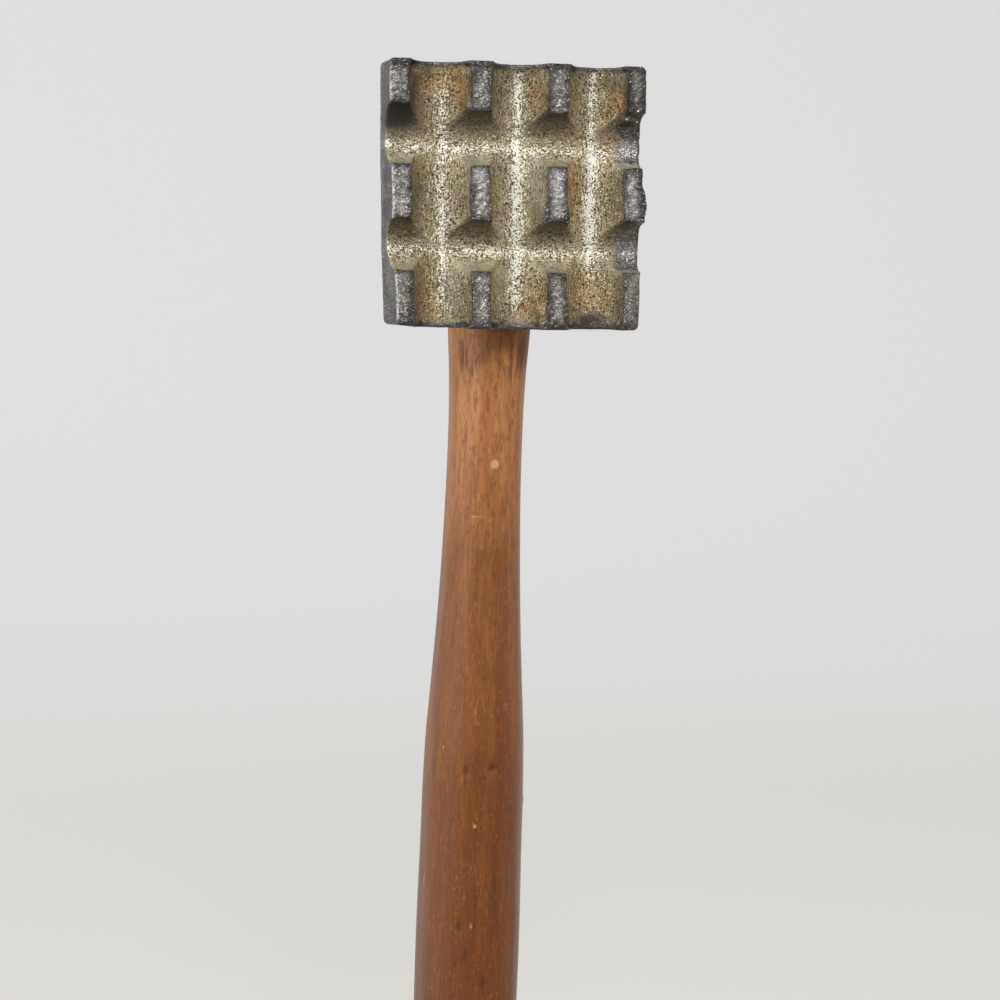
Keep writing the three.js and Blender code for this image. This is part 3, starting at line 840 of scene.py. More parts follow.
# %% The film in the grooves
# Each pair is where something starts and where it is full, in mm.
BARE_ENDS = (0.6, 2.1)
BARE_RIGHT_EDGE = (0.3, 0.9)
FILM_DEPTHS = (0.6, 1.9)
RUBBED_ACROSS = (22.5, 28.5)
RUBBED_OFF_ROWS = (4.5, 6.0)
BARE_NOTCH = (-30.5, 43.0, 3.5, 1.8, 0.8)
# The rim is the bare metal along the plate's ends and right edge, and it also carries painted shade where the edge
# rolls away
rim = np.maximum(fade(from_ends + 1.4 * ragged, *BARE_ENDS), fade(from_right + 0.8 * ragged, *BARE_RIGHT_EDGE))
in_groove = ease(depth, *FILM_DEPTHS) * on_plate * (1 - rim) * ease(from_left, 0.0, 0.35)
rubbed_end = ease(across + 5 * (noise(points, 2.0, 3.0) - 0.5), *RUBBED_ACROSS) * fade(rows, *RUBBED_OFF_ROWS)
grease = in_groove * (1 - 0.9 * rubbed_end) * (1 - blow(across, up, *BARE_NOTCH))
rust = np.clip(spots(across, up, RUST_SPOTS), 0, 1) * in_groove
orange = np.clip(spots(across, up, ORANGE_SPOTS), 0, 1) * in_groove
print("share of the head's points in greasy grooves:", round(float((grease > 0.5).mean()), 2))

# %% Bright grit and a painted highlight along the groove bottoms
# One streak runs up each upright groove, a little to the right of its middle, and one along each level groove.
# Each is bright grit with a painted highlight, placed where the light glances off the groove's bottom.
STREAK_WIDTH = 1.8
STREAKS_OFF_MIDDLE = np.array([[1.9], [1.25], [0.7]])
STREAK_STRENGTHS = np.array([[0.86], [1.07], [1.03]])
NARROWER_UP = ((0.0, 50.0, 54.0), (0.4, 50.0, 54.0), (0.7, 42.0, 46.0))  # by how much, and between what heights
BRIGHTER_PLACE = (18.5, 31.0, 6.0, 8.0, 0.3)
LEVEL_STREAKS_OFF_MIDDLE = np.array([[2.7], [1.2]])
LEVEL_STREAK_SLANT = 0.015
LEVEL_STREAK_WIDTH = 1.5
LEVEL_STREAK_STRENGTH = 0.64
STREAK_DEPTHS = (2.0, 4.0)
streak_widths = np.array([STREAK_WIDTH - less * ease(up, *heights) for less, *heights in NARROWER_UP])
streaks_up = STREAK_STRENGTHS * np.exp(-np.abs((off_columns - STREAKS_OFF_MIDDLE) / streak_widths) ** 1.5)
streaks_up[0] *= 1 - 0.35 * ease(up, 51.0, 55.0)
streaks_up[1] *= 0.8 + 0.2 * ease(up, 12.0, 24.0)
streaks_up[2] *= (1 + blow(across, up, *BRIGHTER_PLACE)) * (0.35 + 0.65 * ease(up, 9.0, 17.0))
off_level_streaks = np.abs(off_rows + LEVEL_STREAKS_OFF_MIDDLE + LEVEL_STREAK_SLANT * across).min(axis=0)
level_streaks = LEVEL_STREAK_STRENGTH * np.exp(-(off_level_streaks / LEVEL_STREAK_WIDTH) ** 1.8)
grit_and_highlight = np.maximum(streaks_up.max(axis=0), level_streaks) * (0.6 + 0.8 * noise(points, 3.4, 6.6))
grit_and_highlight = grit_and_highlight * ease(depth, *STREAK_DEPTHS) * ease(from_left, 0.0, 0.4) * (1 - 0.8 * rubbed_end)
grit_and_highlight = grit_and_highlight * ease(up, 2.6, 7.0) * ease(FACE_HEIGHT - up, 0.9, 3.0)
grit_and_highlight = grit_and_highlight + spots(across, up, GRIT_AND_HIGHLIGHT_PLACES)
print("share of the head's points with bright grit:", round(float((grit_and_highlight > 0.5).mean()), 2))

# %% Calm walls painted lighter and sooty walls painted in shade
# The walls that look down get painted shade with a little soot, and those that look up are smooth, calm and painted
# lighter, as if lit from above.
CALM_LIT_WALL = (2.7, 4.3)
SHADED_WALL = (-0.4, 4.7)
SHADED_CREASE = (4.8, 6.6)
SHADE_DEPTHS = (0.4, 1.2)
MOST_SHADE = 1.05
# Painted light: the calm walls that look up are painted lighter and have fewer specks
calm_and_lit = row_wall * ease(-nearest_row, *CALM_LIT_WALL) + spots(across, up, CALM_AND_LIT_PLACES)
calm_and_lit = np.clip(calm_and_lit, 0, 1) * in_groove
# Painted shade, with a little soot, on the walls that look down, darkest in the crease under each tooth
soot_and_shade = row_wall * (0.66 * ease(nearest_row, *SHADED_WALL) + 0.7 * ease(nearest_row, *SHADED_CREASE))
# Darker over the top row and near the lower edge
soot_and_shade = soot_and_shade + 0.17 * ease(up, 43.0, 49.0) + 0.3 * fade(up, 1.5, 6.0)
# Painted shade on the left walls of the upright grooves, mostly over the top row and on the left of the face
dim_wall = np.maximum(ease(up, 42.0, 47.0) * (1 - 0.5 * ease(across, -8.0, -4.0)), 0.7 * ease(-across, 12.0, 16.0))
soot_and_shade = soot_and_shade + 0.35 * ease(-nearest_column, 2.0, 6.5) * (1 - row_wall) * dim_wall
soot_and_shade = MOST_SHADE * (1 - np.exp(-1.15 * (soot_and_shade + spots(across, up, SOOT_AND_SHADE_PLACES))))
soot_and_shade = soot_and_shade * ease(depth, *SHADE_DEPTHS) * on_plate
print("share of the head's points with much soot:", round(float((soot_and_shade > 0.5).mean()), 2))

# %% Painted shade on the tooth edges, and bright tooth tops
# Shade is painted just below the edges and on a ragged margin of the tops, and the middle of each top is rubbed.
LIGHT_SIDE = (-11.7, 31.0, 1.0, 6.5, 0.8)
DULL_CORNER = (29.2, 5.0, 2.6, 7.0, -0.6)
DARK_MARGIN = (0.0, 1.9)
RUBBED_CORE = (0.5, 2.0)
# Painted shade on the walls just below the tooth tops
tooth_side_shade = 0.5 * ease(depth, 0.25, 0.9) * fade(depth, 1.3, 3.2) * on_plate
tooth_side_shade = tooth_side_shade * (1 - 0.7 * ease(nearest_column, 5.0, 6.5) * fade(up, 40.0, 44.0))
tooth_side_shade = tooth_side_shade * (1 - blow(across, up, *LIGHT_SIDE))
moved_across, moved_up = shift_teeth(across, up)
inside_tooth = np.minimum.reduce([
    np.abs([moved_across - middle for middle in column_middles(up)]).min(axis=0) - COLUMN_GROOVE_WIDTH / 2,
    np.abs(moved_up - UPPER_GROOVE_MIDDLE) - UPPER_ROW_GROOVE / 2,
    np.abs(moved_up - LOWER_GROOVE_MIDDLE) - LOWER_ROW_GROOVE / 2, from_ends - 0.9, from_right - 0.5,
])
# Painted shade on a ragged margin of each tooth top
tooth_margin_shade = fade(inside_tooth + 1.2 * ragged, *DARK_MARGIN) * fade(depth, 0.4, 1.0)
polish_and_highlight = spots(across, up, POLISH_AND_HIGHLIGHT_PLACES) + 0.3 * ease(inside_tooth, *RUBBED_CORE)
polish_and_highlight = polish_and_highlight * fade(depth, 0.7, 1.4) + blow(across, up, *DULL_CORNER)
# A painted highlight: a thin bright line along the plate's left front edge, where it catches the light
polish_and_highlight = polish_and_highlight + 0.8 * np.exp(-((from_left - 0.2) / 0.25) ** 2) * fade(depth, 1.0, 3.0)
print("polish of the tooth tops:", round(float(polish_and_highlight[depth < 0.4].mean()), 2), "on average")

# %% Keep the finishes on the mesh and set the head on its handle
finishes = {
    "grease": grease,
    # painted shade along the plate's rim
    "rim": rim * fade(depth, 7.5, 9.0) * ease(depth, 0.15, 1.0),
    "tooth_edge_shade": np.maximum(tooth_side_shade, tooth_margin_shade),
    "polish_and_highlight": np.clip(polish_and_highlight, -1, 1),
    "grit_and_highlight": grit_and_highlight,
    "salt_and_highlight": 0.19 * grit_and_highlight - 0.1 * soot_and_shade - 0.05 * calm_and_lit,
    "row_wall": row_wall,
    "calm_and_lit": calm_and_lit,
    "soot_and_shade": soot_and_shade,
    "rust": rust,
    "orange": orange,
}
for name, values in finishes.items():
    paint(head, name, values)
set_points(head, tilt_with_head(points))
head.data.set_sharp_from_angle(angle=math.radians(50))
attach(head, "root")
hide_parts("head_casting")
print("finishes of the head:", list(finishes))

# %% [markdown]
# ## The handle
# A hammer-type handle is turned and shaved from one straight-grained stick: slim at the neck, full in the
# palm, and spread at the butt so that it can't slip away. Its section is an oval all the way, so it is again a
# stack of rings. The tenon on top leans with the head and carries the saw kerf for the wedge.

# %% Sizes of the handle
HANDLE_SIDES = 144
SHAFT_RINGS = 330
BUTT_EDGE_ROUND = 2.2
SHOULDER_GAP = 0.3
TENON_GAP = 0.12
STATIONS = np.array([  # height above the butt, width across the face, depth front to back
    (0.0, 27.0, 33.4), (9.0, 27.0, 33.4), (22.0, 25.2, 31.3), (38.0, 24.4, 30.2), (58.0, 24.6, 30.5),
    (79.0, 24.9, 30.8), (94.0, 24.9, 30.8), (112.0, 24.4, 30.3), (130.0, 24.1, 30.0), (142.0, 23.4, 29.2),
    (153.5, 22.0, 27.6), (163.0, 20.8, 26.2), (177.0, 19.3, 24.6), (193.0, 18.2, 23.2), (207.0, 17.6, 22.6),
    (231.0, 18.1, 23.3), (243.0, 19.4, 24.7), (248.0, 19.7, 25.0),
])
BUTT_WIDTH, BUTT_DEPTH = STATIONS[0, 1:]
shaft_heights = np.linspace(BUTT_EDGE_ROUND, SEAT - SHOULDER_GAP, SHAFT_RINGS)
shaft_widths, shaft_depths = (smooth_curve(shaft_heights, STATIONS[:, 0], STATIONS[:, k]) for k in (1, 2))
print("the shaft is", shaft_widths.min().round(2), "to", shaft_widths.max().round(2), "mm wide")

# %% Dents of the stick
NICKS = [  # turn in degrees (270 faces the teeth's side), height, reach round and up in mm, depth
    (270.0, 205.0, 0.5, 0.7, 0.12), (247.0, 134.5, 0.8, 1.3, 0.2), (272.0, 135.8, 1.3, 1.2, 0.25),
    (246.0, 96.8, 0.9, 1.6, 0.2), (273.5, 124.4, 2.8, 0.25, 0.16), (258.0, 121.8, 0.7, 0.7, 0.14),
    (262.5, 115.4, 1.0, 0.25, 0.16), (249.0, 197.0, 4.0, 0.25, 0.1), (187.0, 106.1, 0.6, 1.8, 0.22),
    (40.0, 60.0, 2.0, 0.5, 0.25), (120.0, 86.0, 0.7, 2.6, 0.25), (80.0, 150.0, 3.0, 0.3, 0.15),
    (350.0, 20.0, 1.4, 2.0, 0.3), (200.0, 14.0, 2.2, 1.0, 0.35), (95.0, 6.0, 2.6, 1.2, 0.4),
]
BUMP_TURN = 352.0
BUMP_HEIGHT = 125.3
BUMP_RISE = 0.55
BUMP_REACH_ROUND = 1.1
BUMP_REACH_UP = 1.9


def way_round(points, turn_degrees):
    """How far round the stick a point is from a turn, in mm: the angle between, in radians, times the radius."""
    turn = np.degrees(np.arctan2(points[:, 1], points[:, 0]))
    return np.radians((turn - turn_degrees + 180) % 360 - 180) * np.hypot(points[:, 0], points[:, 1])


def stick_spots(points, places):
    """All the soft spots of a table added up, at every point of the stick."""
    return sum(blow(way_round(points, turn), points[:, 2], 0, *place) for turn, *place in places)


print("nicks in the stick:", len(NICKS))

# %% The shaft
GRAIN_STRETCH = 0.08
FINE_GRAIN_STRETCH = 0.05
handle_turns = np.linspace(0, 2 * math.pi, HANDLE_SIDES, endpoint=False)
shaft = np.array([
    oval_ring(width, depth, height, handle_turns)
    for height, width, depth in zip(shaft_heights, shaft_widths, shaft_depths)
])
shaft_points = shaft.reshape(-1, 3)
outwards = shaft_points * [1, 1, 0]
outwards = outwards / np.linalg.norm(outwards, axis=1)[:, None]
stretched = shaft_points * [1, 1, GRAIN_STRETCH]
relief = 0.22 * (noise(stretched, 7.0, 3.3) - 0.5) + 0.1 * (noise(stretched, 1.8, 9.1) - 0.5)
relief += 0.05 * (noise(shaft_points * [1, 1, FINE_GRAIN_STRETCH], 0.8, 5.5) - 0.5)
relief -= stick_spots(shaft_points, NICKS)
off_bump = way_round(shaft_points, BUMP_TURN) / BUMP_REACH_ROUND
relief += BUMP_RISE * np.exp(-off_bump ** 4 - ((shaft_points[:, 2] - BUMP_HEIGHT) / BUMP_REACH_UP) ** 4)
relief *= ease(shaft_points[:, 2], 2.0, 9.0)
shaft_points = shaft_points + outwards * relief[:, None]
lean_share = ease(shaft_points[:, 2], 215, SEAT)
shaft_points[:, 2] -= lean_share * shaft_points[:, 0] * math.sin(HEAD_LEAN)
shaft = shaft_points.reshape(shaft.shape)
print("the shaft's skin goes from", relief.min().round(2), "to", relief.max().round(2), "mm")

# %% The butt, the tenon and the whole stick
BUTT_STEPS = 5
TENON_EDGE = 0.35
SHOULDER_HEIGHTS = (-SHOULDER_GAP, 0.2, 1)
tenon_heights = (*SHOULDER_HEIGHTS, *np.linspace(4, HUB_HEIGHT - 0.6, 22), HUB_HEIGHT - 0.3, HUB_HEIGHT - 0.15)
butt = []
for cosine, sine in quarter_turns(BUTT_STEPS)[::-1]:
    inset = 2 * BUTT_EDGE_ROUND * (1 - cosine)
    butt.append(oval_ring(BUTT_WIDTH - inset, BUTT_DEPTH - inset, BUTT_EDGE_ROUND * (1 - sine), handle_turns))
end_cap = [butt[0] * [scale, scale, 1] for scale in np.linspace(0.1, 0.95, 12)]
tenon = []
for height in tenon_heights:
    flare, _ = eye_widening(min(max(height, 1), HUB_HEIGHT - 1))
    drawn_in = TENON_EDGE if height == tenon_heights[-1] else 0
    width = EYE_WIDTH + flare - 2 * TENON_GAP - drawn_in
    tenon.append(oval_ring(width, EYE_DEPTH - 2 * TENON_GAP - drawn_in, height, handle_turns))
top_cap = [tenon[-1] * [scale, scale, 1] for scale in np.linspace(0.92, 0.08, 14)]
tenon = tilt_with_head(np.array(tenon + top_cap))
handle = ring_piece("handle_stick", np.concatenate([end_cap, butt, shaft, tenon]))
print("the handle has", len(handle.data.polygons), "faces")

# %% [markdown]
# ## The wedges
# A wooden wedge is driven into the saw kerf from front to back, and two steel wedges are driven across it. A
# hammer has bruised their upper ends. Each wedge is a stack of rounded rectangles that get thicker upwards, and
# the same shape, a hair larger, cuts its slot.

# %% Sizes and rings of the wedges
WOOD_WEDGE = {"top": 4.0, "tip": 1.4, "length": 22.0, "depth": 30.0}
STEEL_WEDGE = {"top": 2.2, "tip": 0.8, "length": 12.5, "depth": 14.0}
STEEL_WEDGE_PLACES = {"steel_wedge_front": -5.2, "steel_wedge_rear": 5.2}
SLOT_GAP = 0.06
SLOT_ABOVE = 3.0
KERF_BEYOND_WEDGE = 4.0
WEDGE_SIDES = 64
WEDGE_RINGS = 24
WEDGE_SQUARENESS = 9.0
WEDGE_EDGE = 0.25
wedge_turns = np.linspace(0, 2 * math.pi, WEDGE_SIDES, endpoint=False)


def wedge_rings(size, gap=0.0, above=0.0, deeper=0.0):
    """Rings of a wedge that runs along y, with its upper end at the hub's top. Where it isn't a cutter, the top
    and bottom edges are drawn in a little."""
    rings = []
    for share in np.linspace(0, 1, WEDGE_RINGS):
        thick = size["tip"] + (size["top"] - size["tip"]) * share + 2 * gap
        height = HUB_HEIGHT - (size["depth"] + deeper) * (1 - share)
        drawn_in = WEDGE_EDGE if share in (0, 1) and not gap else 0.0
        flat = superellipse(thick - drawn_in, size["length"] + 2 * gap - drawn_in, WEDGE_SQUARENESS, wedge_turns)
        rings.append(np.column_stack([flat, np.full(WEDGE_SIDES, height)]))
    if above:
        rings.append(rings[-1] + [0, 0, above])
    return np.array(rings)


def across_the_kerf(rings, place):
    """Turns a wedge a quarter round the upright axis and moves it to its place front to back."""
    return np.stack([-rings[..., 1], rings[..., 0] + place, rings[..., 2]], axis=-1)


print("points of a wedge:", wedge_rings(WOOD_WEDGE).size // 3)

# %% The wedges and their slots
STEEL_BRUISES = 0.3
WOOD_BRUISES = 0.12
BRUISE_SIZE = 1.1
BRUISED_LENGTH = 1.5


def finish_wedge(wedge, node_name, crushed):
    """Bruises the wedge's upper end and puts it in its place."""
    points = get_points(wedge)
    near_top = np.clip((points[:, 2] - HUB_HEIGHT + BRUISED_LENGTH) / BRUISED_LENGTH, 0, 1)
    bruises = facets(points[:, 0] + 50, points[:, 1] + 50, BRUISE_SIZE, 7).clip(0, 1.5)
    points[:, 2] -= near_top * crushed * bruises
    set_points(wedge, tilt_with_head(points))
    wedge.data.set_sharp_from_angle(angle=math.radians(40))
    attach(wedge, "root")
    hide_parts(node_name)


kerf = wedge_rings(WOOD_WEDGE, SLOT_GAP, SLOT_ABOVE, KERF_BEYOND_WEDGE)
apply_cut(handle, ring_piece("kerf_cutter", tilt_with_head(kerf)))
wood_wedge = ring_piece("wood_wedge", wedge_rings(WOOD_WEDGE))
steel_wedges = []
for node_name, place in STEEL_WEDGE_PLACES.items():
    slot_shape = across_the_kerf(wedge_rings(STEEL_WEDGE, SLOT_GAP, SLOT_ABOVE), place)
    apply_cut(handle, ring_piece("slot_cutter", tilt_with_head(slot_shape)))
    apply_cut(wood_wedge, ring_piece("slot_cutter", slot_shape))
    steel_wedge = ring_piece(node_name.replace("steel_wedge", "steel_taper"),
                             across_the_kerf(wedge_rings(STEEL_WEDGE), place))
    finish_wedge(steel_wedge, node_name, STEEL_BRUISES)
    steel_wedges.append(steel_wedge)
finish_wedge(wood_wedge, "wooden_wedge", WOOD_BRUISES)
print("faces of the wooden wedge:", len(wood_wedge.data.polygons), "and the handle:", len(handle.data.polygons))

# %% [markdown]
# ## Stains and wear of the stick
# The wood at the neck is darker, down to a sharp lower edge a little below the head. Water and meat juice have
# stained it lower down, and knocks have broken through its oiled skin. Like the head's finishes, these are soft
# spots on the mesh, and the grain will fray their edges.

# %% Stains of the handle
STAINS = [  # turn in degrees, height, reach round and up in mm, strength
    (270.0, 235.5, 0.9, 6.0, 0.6), (283.0, 234.5, 0.5, 6.0, 0.8), (294.0, 235.5, 1.3, 6.5, 0.85),
    (226.0, 237.5, 0.5, 4.0, 0.5), (302.0, 236.0, 0.4, 6.5, 0.6), (312.0, 238.0, 2.0, 7.0, 0.4),
    (277.0, 237.0, 0.3, 6.0, 0.35), (226.0, 231.5, 0.3, 4.0, 0.6), (234.0, 238.5, 0.4, 4.0, 0.5),
    (255.0, 232.0, 0.3, 3.5, 0.5), (236.0, 232.0, 0.3, 3.0, 0.6), (219.0, 236.0, 0.5, 5.0, 0.7),
    (246.0, 226.5, 0.25, 3.0, 0.5), (214.0, 238.0, 0.8, 4.0, 0.6), (270.0, 205.0, 0.6, 0.8, 0.5),
    (247.0, 135.4, 1.1, 1.2, 0.95), (273.0, 136.3, 1.2, 1.1, 1.0), (266.0, 133.7, 0.5, 0.8, 1.0),
    (247.5, 132.5, 0.5, 0.8, 0.7), (266.0, 130.5, 0.4, 2.2, 0.75), (246.0, 111.3, 1.2, 0.35, 0.6),
    (245.5, 96.8, 0.9, 1.6, 1.15), (252.0, 90.0, 0.7, 2.2, 0.8), (293.0, 107.5, 0.4, 3.2, 0.5),
    (271.0, 83.0, 0.6, 2.2, 0.7), (285.0, 149.0, 0.3, 1.2, 0.5), (291.0, 102.0, 0.3, 2.6, 0.5),
    (299.0, 98.0, 0.35, 6.0, 0.5), (267.0, 82.5, 0.6, 2.0, 0.5),
]
WORN_SPOTS = [
    (268.0, 209.9, 0.9, 1.0, 1.8), (276.0, 209.5, 0.35, 0.3, 0.45), (268.5, 219.0, 0.35, 2.4, 0.8),
    (246.0, 213.0, 0.3, 3.8, 0.5), (260.0, 213.3, 0.35, 1.2, 0.6), (255.5, 197.2, 2.3, 0.32, 0.7),
    (243.0, 197.0, 1.2, 0.25, 0.5), (263.0, 196.2, 1.0, 0.25, 0.5), (254.5, 149.5, 0.4, 3.0, 0.5),
    (258.0, 147.0, 0.9, 1.2, 0.4), (220.0, 140.0, 0.4, 0.5, 0.9), (286.5, 151.5, 0.9, 0.3, 0.6),
    (286.5, 142.0, 0.6, 0.3, 0.6), (273.5, 124.4, 2.3, 0.22, 0.8), (258.0, 121.8, 0.6, 0.6, 1.0),
    (269.0, 121.6, 0.3, 0.45, 0.8), (262.5, 115.4, 0.9, 0.2, 0.8), (251.0, 111.9, 0.35, 0.6, 0.7),
    (187.0, 106.1, 0.5, 1.4, 0.9), (257.5, 97.1, 0.5, 1.3, 0.7), (271.5, 94.3, 0.4, 1.4, 0.6),
    (297.0, 86.3, 0.9, 0.35, 0.5),
]
NECK_DARKENING_ABOVE = 225
NECK_DARKENING_START = (229.7, 231.2)
DARKEST = 1.2
points = get_points(handle)
stain = stick_spots(points, STAINS)
worn = stick_spots(points, WORN_SPOTS)
# At the neck the stick is darker, down to a sharp lower edge a little below the head
stain = np.where(points[:, 2] > NECK_DARKENING_ABOVE, stain * ease(points[:, 2], *NECK_DARKENING_START), stain)
paint(handle, "stain", np.clip(stain, 0, DARKEST))
paint(handle, "worn", np.clip(worn, 0, DARKEST))
handle.data.set_sharp_from_angle(angle=math.radians(50))
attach(handle, "root")
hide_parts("handle")
print("stained points:", int((stain > 0.3).sum()), "worn points:", int((worn > 0.3).sum()))

# %% [markdown]
# ## A way to build every finish
# A real finish is a stack of thin layers: metal, film, soot, bright grains. So each material here starts from
# a ground colour and takes one wash after another, each let through by noise or by a painted finish. All
# noise is sized in millimetres.

# %% A material to start from
SMOOTH = {"interpolation_type": "SMOOTHSTEP"}
COLOUR = {"data_type": "RGBA"}
PIXEL_MM = 0.24  # what one pixel of the picture covers on the face


def new_material(name):
    """An empty material, the function that adds its nodes, and object coordinates in millimetres."""
    material = bpy.data.materials.new(name)
    material.use_nodes = True
    material.node_tree.nodes.clear()
    add = functools.partial(node, material.node_tree)
    place = add("TexCoord", output="Object")
    return material, add, add("Mapping", {"Vector": place, "Scale": (1 / MM, 1 / MM, 1 / MM)})


def washes(add, ground, steps):
    """Lays colours over a ground, one after another. A step has a level, the two values between which it goes
    from nothing to full (None where the level itself is the share), a strength and a colour."""
    for level, ends, strength, colour in steps:
        if ends:
            level = add("MapRange", [level, *ends], **SMOOTH)
        share = add("Math", [level, strength], operation="MULTIPLY")
        ground = add("Mix", [share, ground, colour], **COLOUR)
    return ground


def lay_on(pieces, material, add, inputs):
    """Joins the finished inputs in one Principled surface and gives the material to its pieces."""
    add("OutputMaterial", {"Surface": add("BsdfPrincipled", inputs)})
    for piece in pieces:
        piece.data.materials.append(material)
    print(material.name, "has", len(material.node_tree.nodes), "nodes")


print("one pixel of the picture is", PIXEL_MM, "mm on the face, so finer grain than that can't show")

# %% [markdown]
# ## Cast aluminium that was never polished
# Tarnished aluminium is a dull, dark metal: its skin is grey oxide, and only the bruised high places shine.
# In the grooves a film of old grease holds fine dust, and bright grains of metal show through it like salt and
# pepper; along the groove bottoms they crowd into streaks of painted highlight. A picture could hold this, but
# noise in the solid metal needs no unwrapping and has no seams.

# %% Grains of the aluminium
# Sand-cast aluminium gives the eye a broken, matt grey with small glints. The pits of the sand and the dust are
# really 0.1 to 0.3 mm, too fine to show here, so the finest grains are drawn at about 0.4 mm.
FINEST_GRAIN = 0.4
aluminium, add, in_mm = new_material("sand_cast_aluminium_tarnished")
slanting = add("Mapping", {"Vector": in_mm, "Rotation": (0, 0.5, 0), "Scale": (0.75, 1, 1.35)})
upright = add("Mapping", {"Vector": in_mm, "Scale": (1.5, 1.5, 0.4)})
level = add("Mapping", {"Vector": in_mm, "Scale": (0.4, 1.5, 1.5)})
fine, wrinkles, middling, broad, stained, brushed_up, brushed_level = (
    add("TexNoise", {"Vector": vector, "Scale": 1 / size_mm, "Detail": detail, "Roughness": roughness,
                     "Distortion": distortion})
    for vector, size_mm, detail, roughness, distortion in (
        (in_mm, FINEST_GRAIN, 2.0, 0.55, 0.0),
        (slanting, 0.44, 3.0, 0.6, 0.5),
        (in_mm, 0.8, 3.0, 0.65, 0.0),
        (in_mm, 4.5, 2.0, 0.5, 0.0),
        (in_mm, 2.4, 3.0, 0.6, 0.4),
        (upright, 0.55, 2.0, 0.6, 0.0),
        (level, 0.55, 2.0, 0.6, 0.0),
    )
)
painted = {name: add("Attribute", output="Fac", attribute_name=name) for name in finishes}
brushed = add("Mix", [painted["row_wall"], brushed_up, brushed_level])
clumped = add("Math", [brushed, 0.42, -0.15], operation="MULTIPLY_ADD")
clumped = add("Math", [fine, 0.88, clumped], operation="MULTIPLY_ADD")
print("finest grain of the aluminium:", round(FINEST_GRAIN / PIXEL_MM, 1), "pixels")

# %% Bare metal
# Oxide-grey metal, bright where it is rubbed, with painted glints and highlights, near black in its pits, and with
# painted shade along the rim, under the teeth and along the tooth edges
glints = add("MapRange", [wrinkles, 0.53, 0.67, 0.0, 0.9], **SMOOTH)
rubbed = add("MapRange", [painted["polish_and_highlight"], -1.0, 0.2, 0.2, 1.0], **SMOOTH)
bare = washes(add, "#5C5A58", [
    (broad, (0.35, 0.65), 1.0, "#7C7875"),
    # rubbed metal and painted highlights
    (painted["polish_and_highlight"], (0.0, 1.0), 0.75, "#B4B1AF"),
    (painted["polish_and_highlight"], (0.0, -1.0), 0.9, "#454342"),
    (add("Math", [glints, rubbed], operation="MULTIPLY"), None, 1.0, "#C9C8C7"),
    (wrinkles, (0.47, 0.33), 0.8, "#2F2C2C"),
    # painted shade along the plate's rim
    (painted["rim"], None, 0.6, "#4A4541"),
    # painted shade, with a little soot
    (painted["soot_and_shade"], None, 0.65, "#332F2D"),
    # painted shade along the tooth edges
    (painted["tooth_edge_shade"], None, 0.8, "#353130"),
])
print("the bare metal is ready")

# %% The film of old grease
# Olive and khaki, ochre where water has rusted it, painted lighter on the calm walls that look up and painted in
# shade under the teeth, with light and dark specks that thin out where it is calm
speck_share = add("MapRange", [painted["calm_and_lit"], 0.0, 1.0, 1.0, 0.5], **SMOOTH)
light_specks = add("MapRange", [fine, 0.53, 0.64, 0.0, 0.55], **SMOOTH)
pepper = add("MapRange", [clumped, 0.48, 0.38], **SMOOTH)
away_from_shade = add("MapRange", [painted["soot_and_shade"], 0.2, 1.0, 0.95, 0.5], **SMOOTH)
light_specks = add("Math", [light_specks, speck_share], operation="MULTIPLY")
pepper = add("Math", [pepper, speck_share], operation="MULTIPLY")
film = washes(add, "#948968", [
    (broad, (0.35, 0.65), 1.0, "#A0906F"),
    (stained, (0.5, 0.64), 0.5, "#98794B"),
    (stained, (0.46, 0.34), 0.5, "#868765"),
    # painted light on the calm walls that look up
    (painted["calm_and_lit"], None, 0.85, "#A7A089"),
    (painted["rust"], None, 0.95, "#B6843A"),
    (painted["orange"], None, 1.0, "#9F5328"),
    (brushed, (0.50, 0.36), 0.6, "#5C5038"),
    (brushed, (0.53, 0.66), 0.5, "#B8A87C"),
    (light_specks, None, 1.0, "#BDB08C"),
    # bright grit with a painted highlight along the groove bottoms
    (painted["grit_and_highlight"], None, 0.45, "#BFB9A4"),
    # painted shade along the tooth edges
    (painted["tooth_edge_shade"], None, 0.5, "#4A3F37"),
    # painted shade with a little soot, darkest in the creases under the teeth
    (painted["soot_and_shade"], None, 0.9, "#4B403B"),
    (painted["soot_and_shade"], (0.8, 1.04), 0.8, "#24211F"),
    (add("Math", [pepper, away_from_shade], operation="MULTIPLY"), None, 1.0, "#2A261C"),
])
print("the film is ready")

# %% Film and metal together, with bright grains over both
patches = add("Math", [middling, 1.2, painted["grease"]], operation="MULTIPLY_ADD")
film_share = add("MapRange", [patches, 0.8, 1.35], **SMOOTH)
# The bright grains crowd along the painted highlight in the groove bottoms and thin out in the painted shade
salt_and_highlight_level = add("Math", [clumped, painted["salt_and_highlight"]], operation="ADD")
salt_and_highlight_on_film = add("MapRange", [salt_and_highlight_level, 0.60, 0.71], **SMOOTH)
salt_and_highlight_on_film = add("Math", [salt_and_highlight_on_film, painted["grease"]], operation="MULTIPLY")
salt_and_highlight = add("Math", [salt_and_highlight_on_film, add("MapRange", [salt_and_highlight_level, 0.64, 0.72], **SMOOTH)], operation="MAXIMUM")
warm = add("Math", [painted["rust"], painted["orange"]], operation="MAXIMUM")
salt_colour = washes(add, "#F2EFE3", [(warm, None, 0.75, "#ECD095")])
colour = washes(add, bare, [(film_share, None, 1.0, film), (salt_and_highlight, None, 0.93, salt_colour)])
roughness = add("MapRange", [middling, 0.3, 0.7, 0.36, 0.5], **SMOOTH)
relief = add("Math", [fine, 0.7, wrinkles], operation="MULTIPLY_ADD")
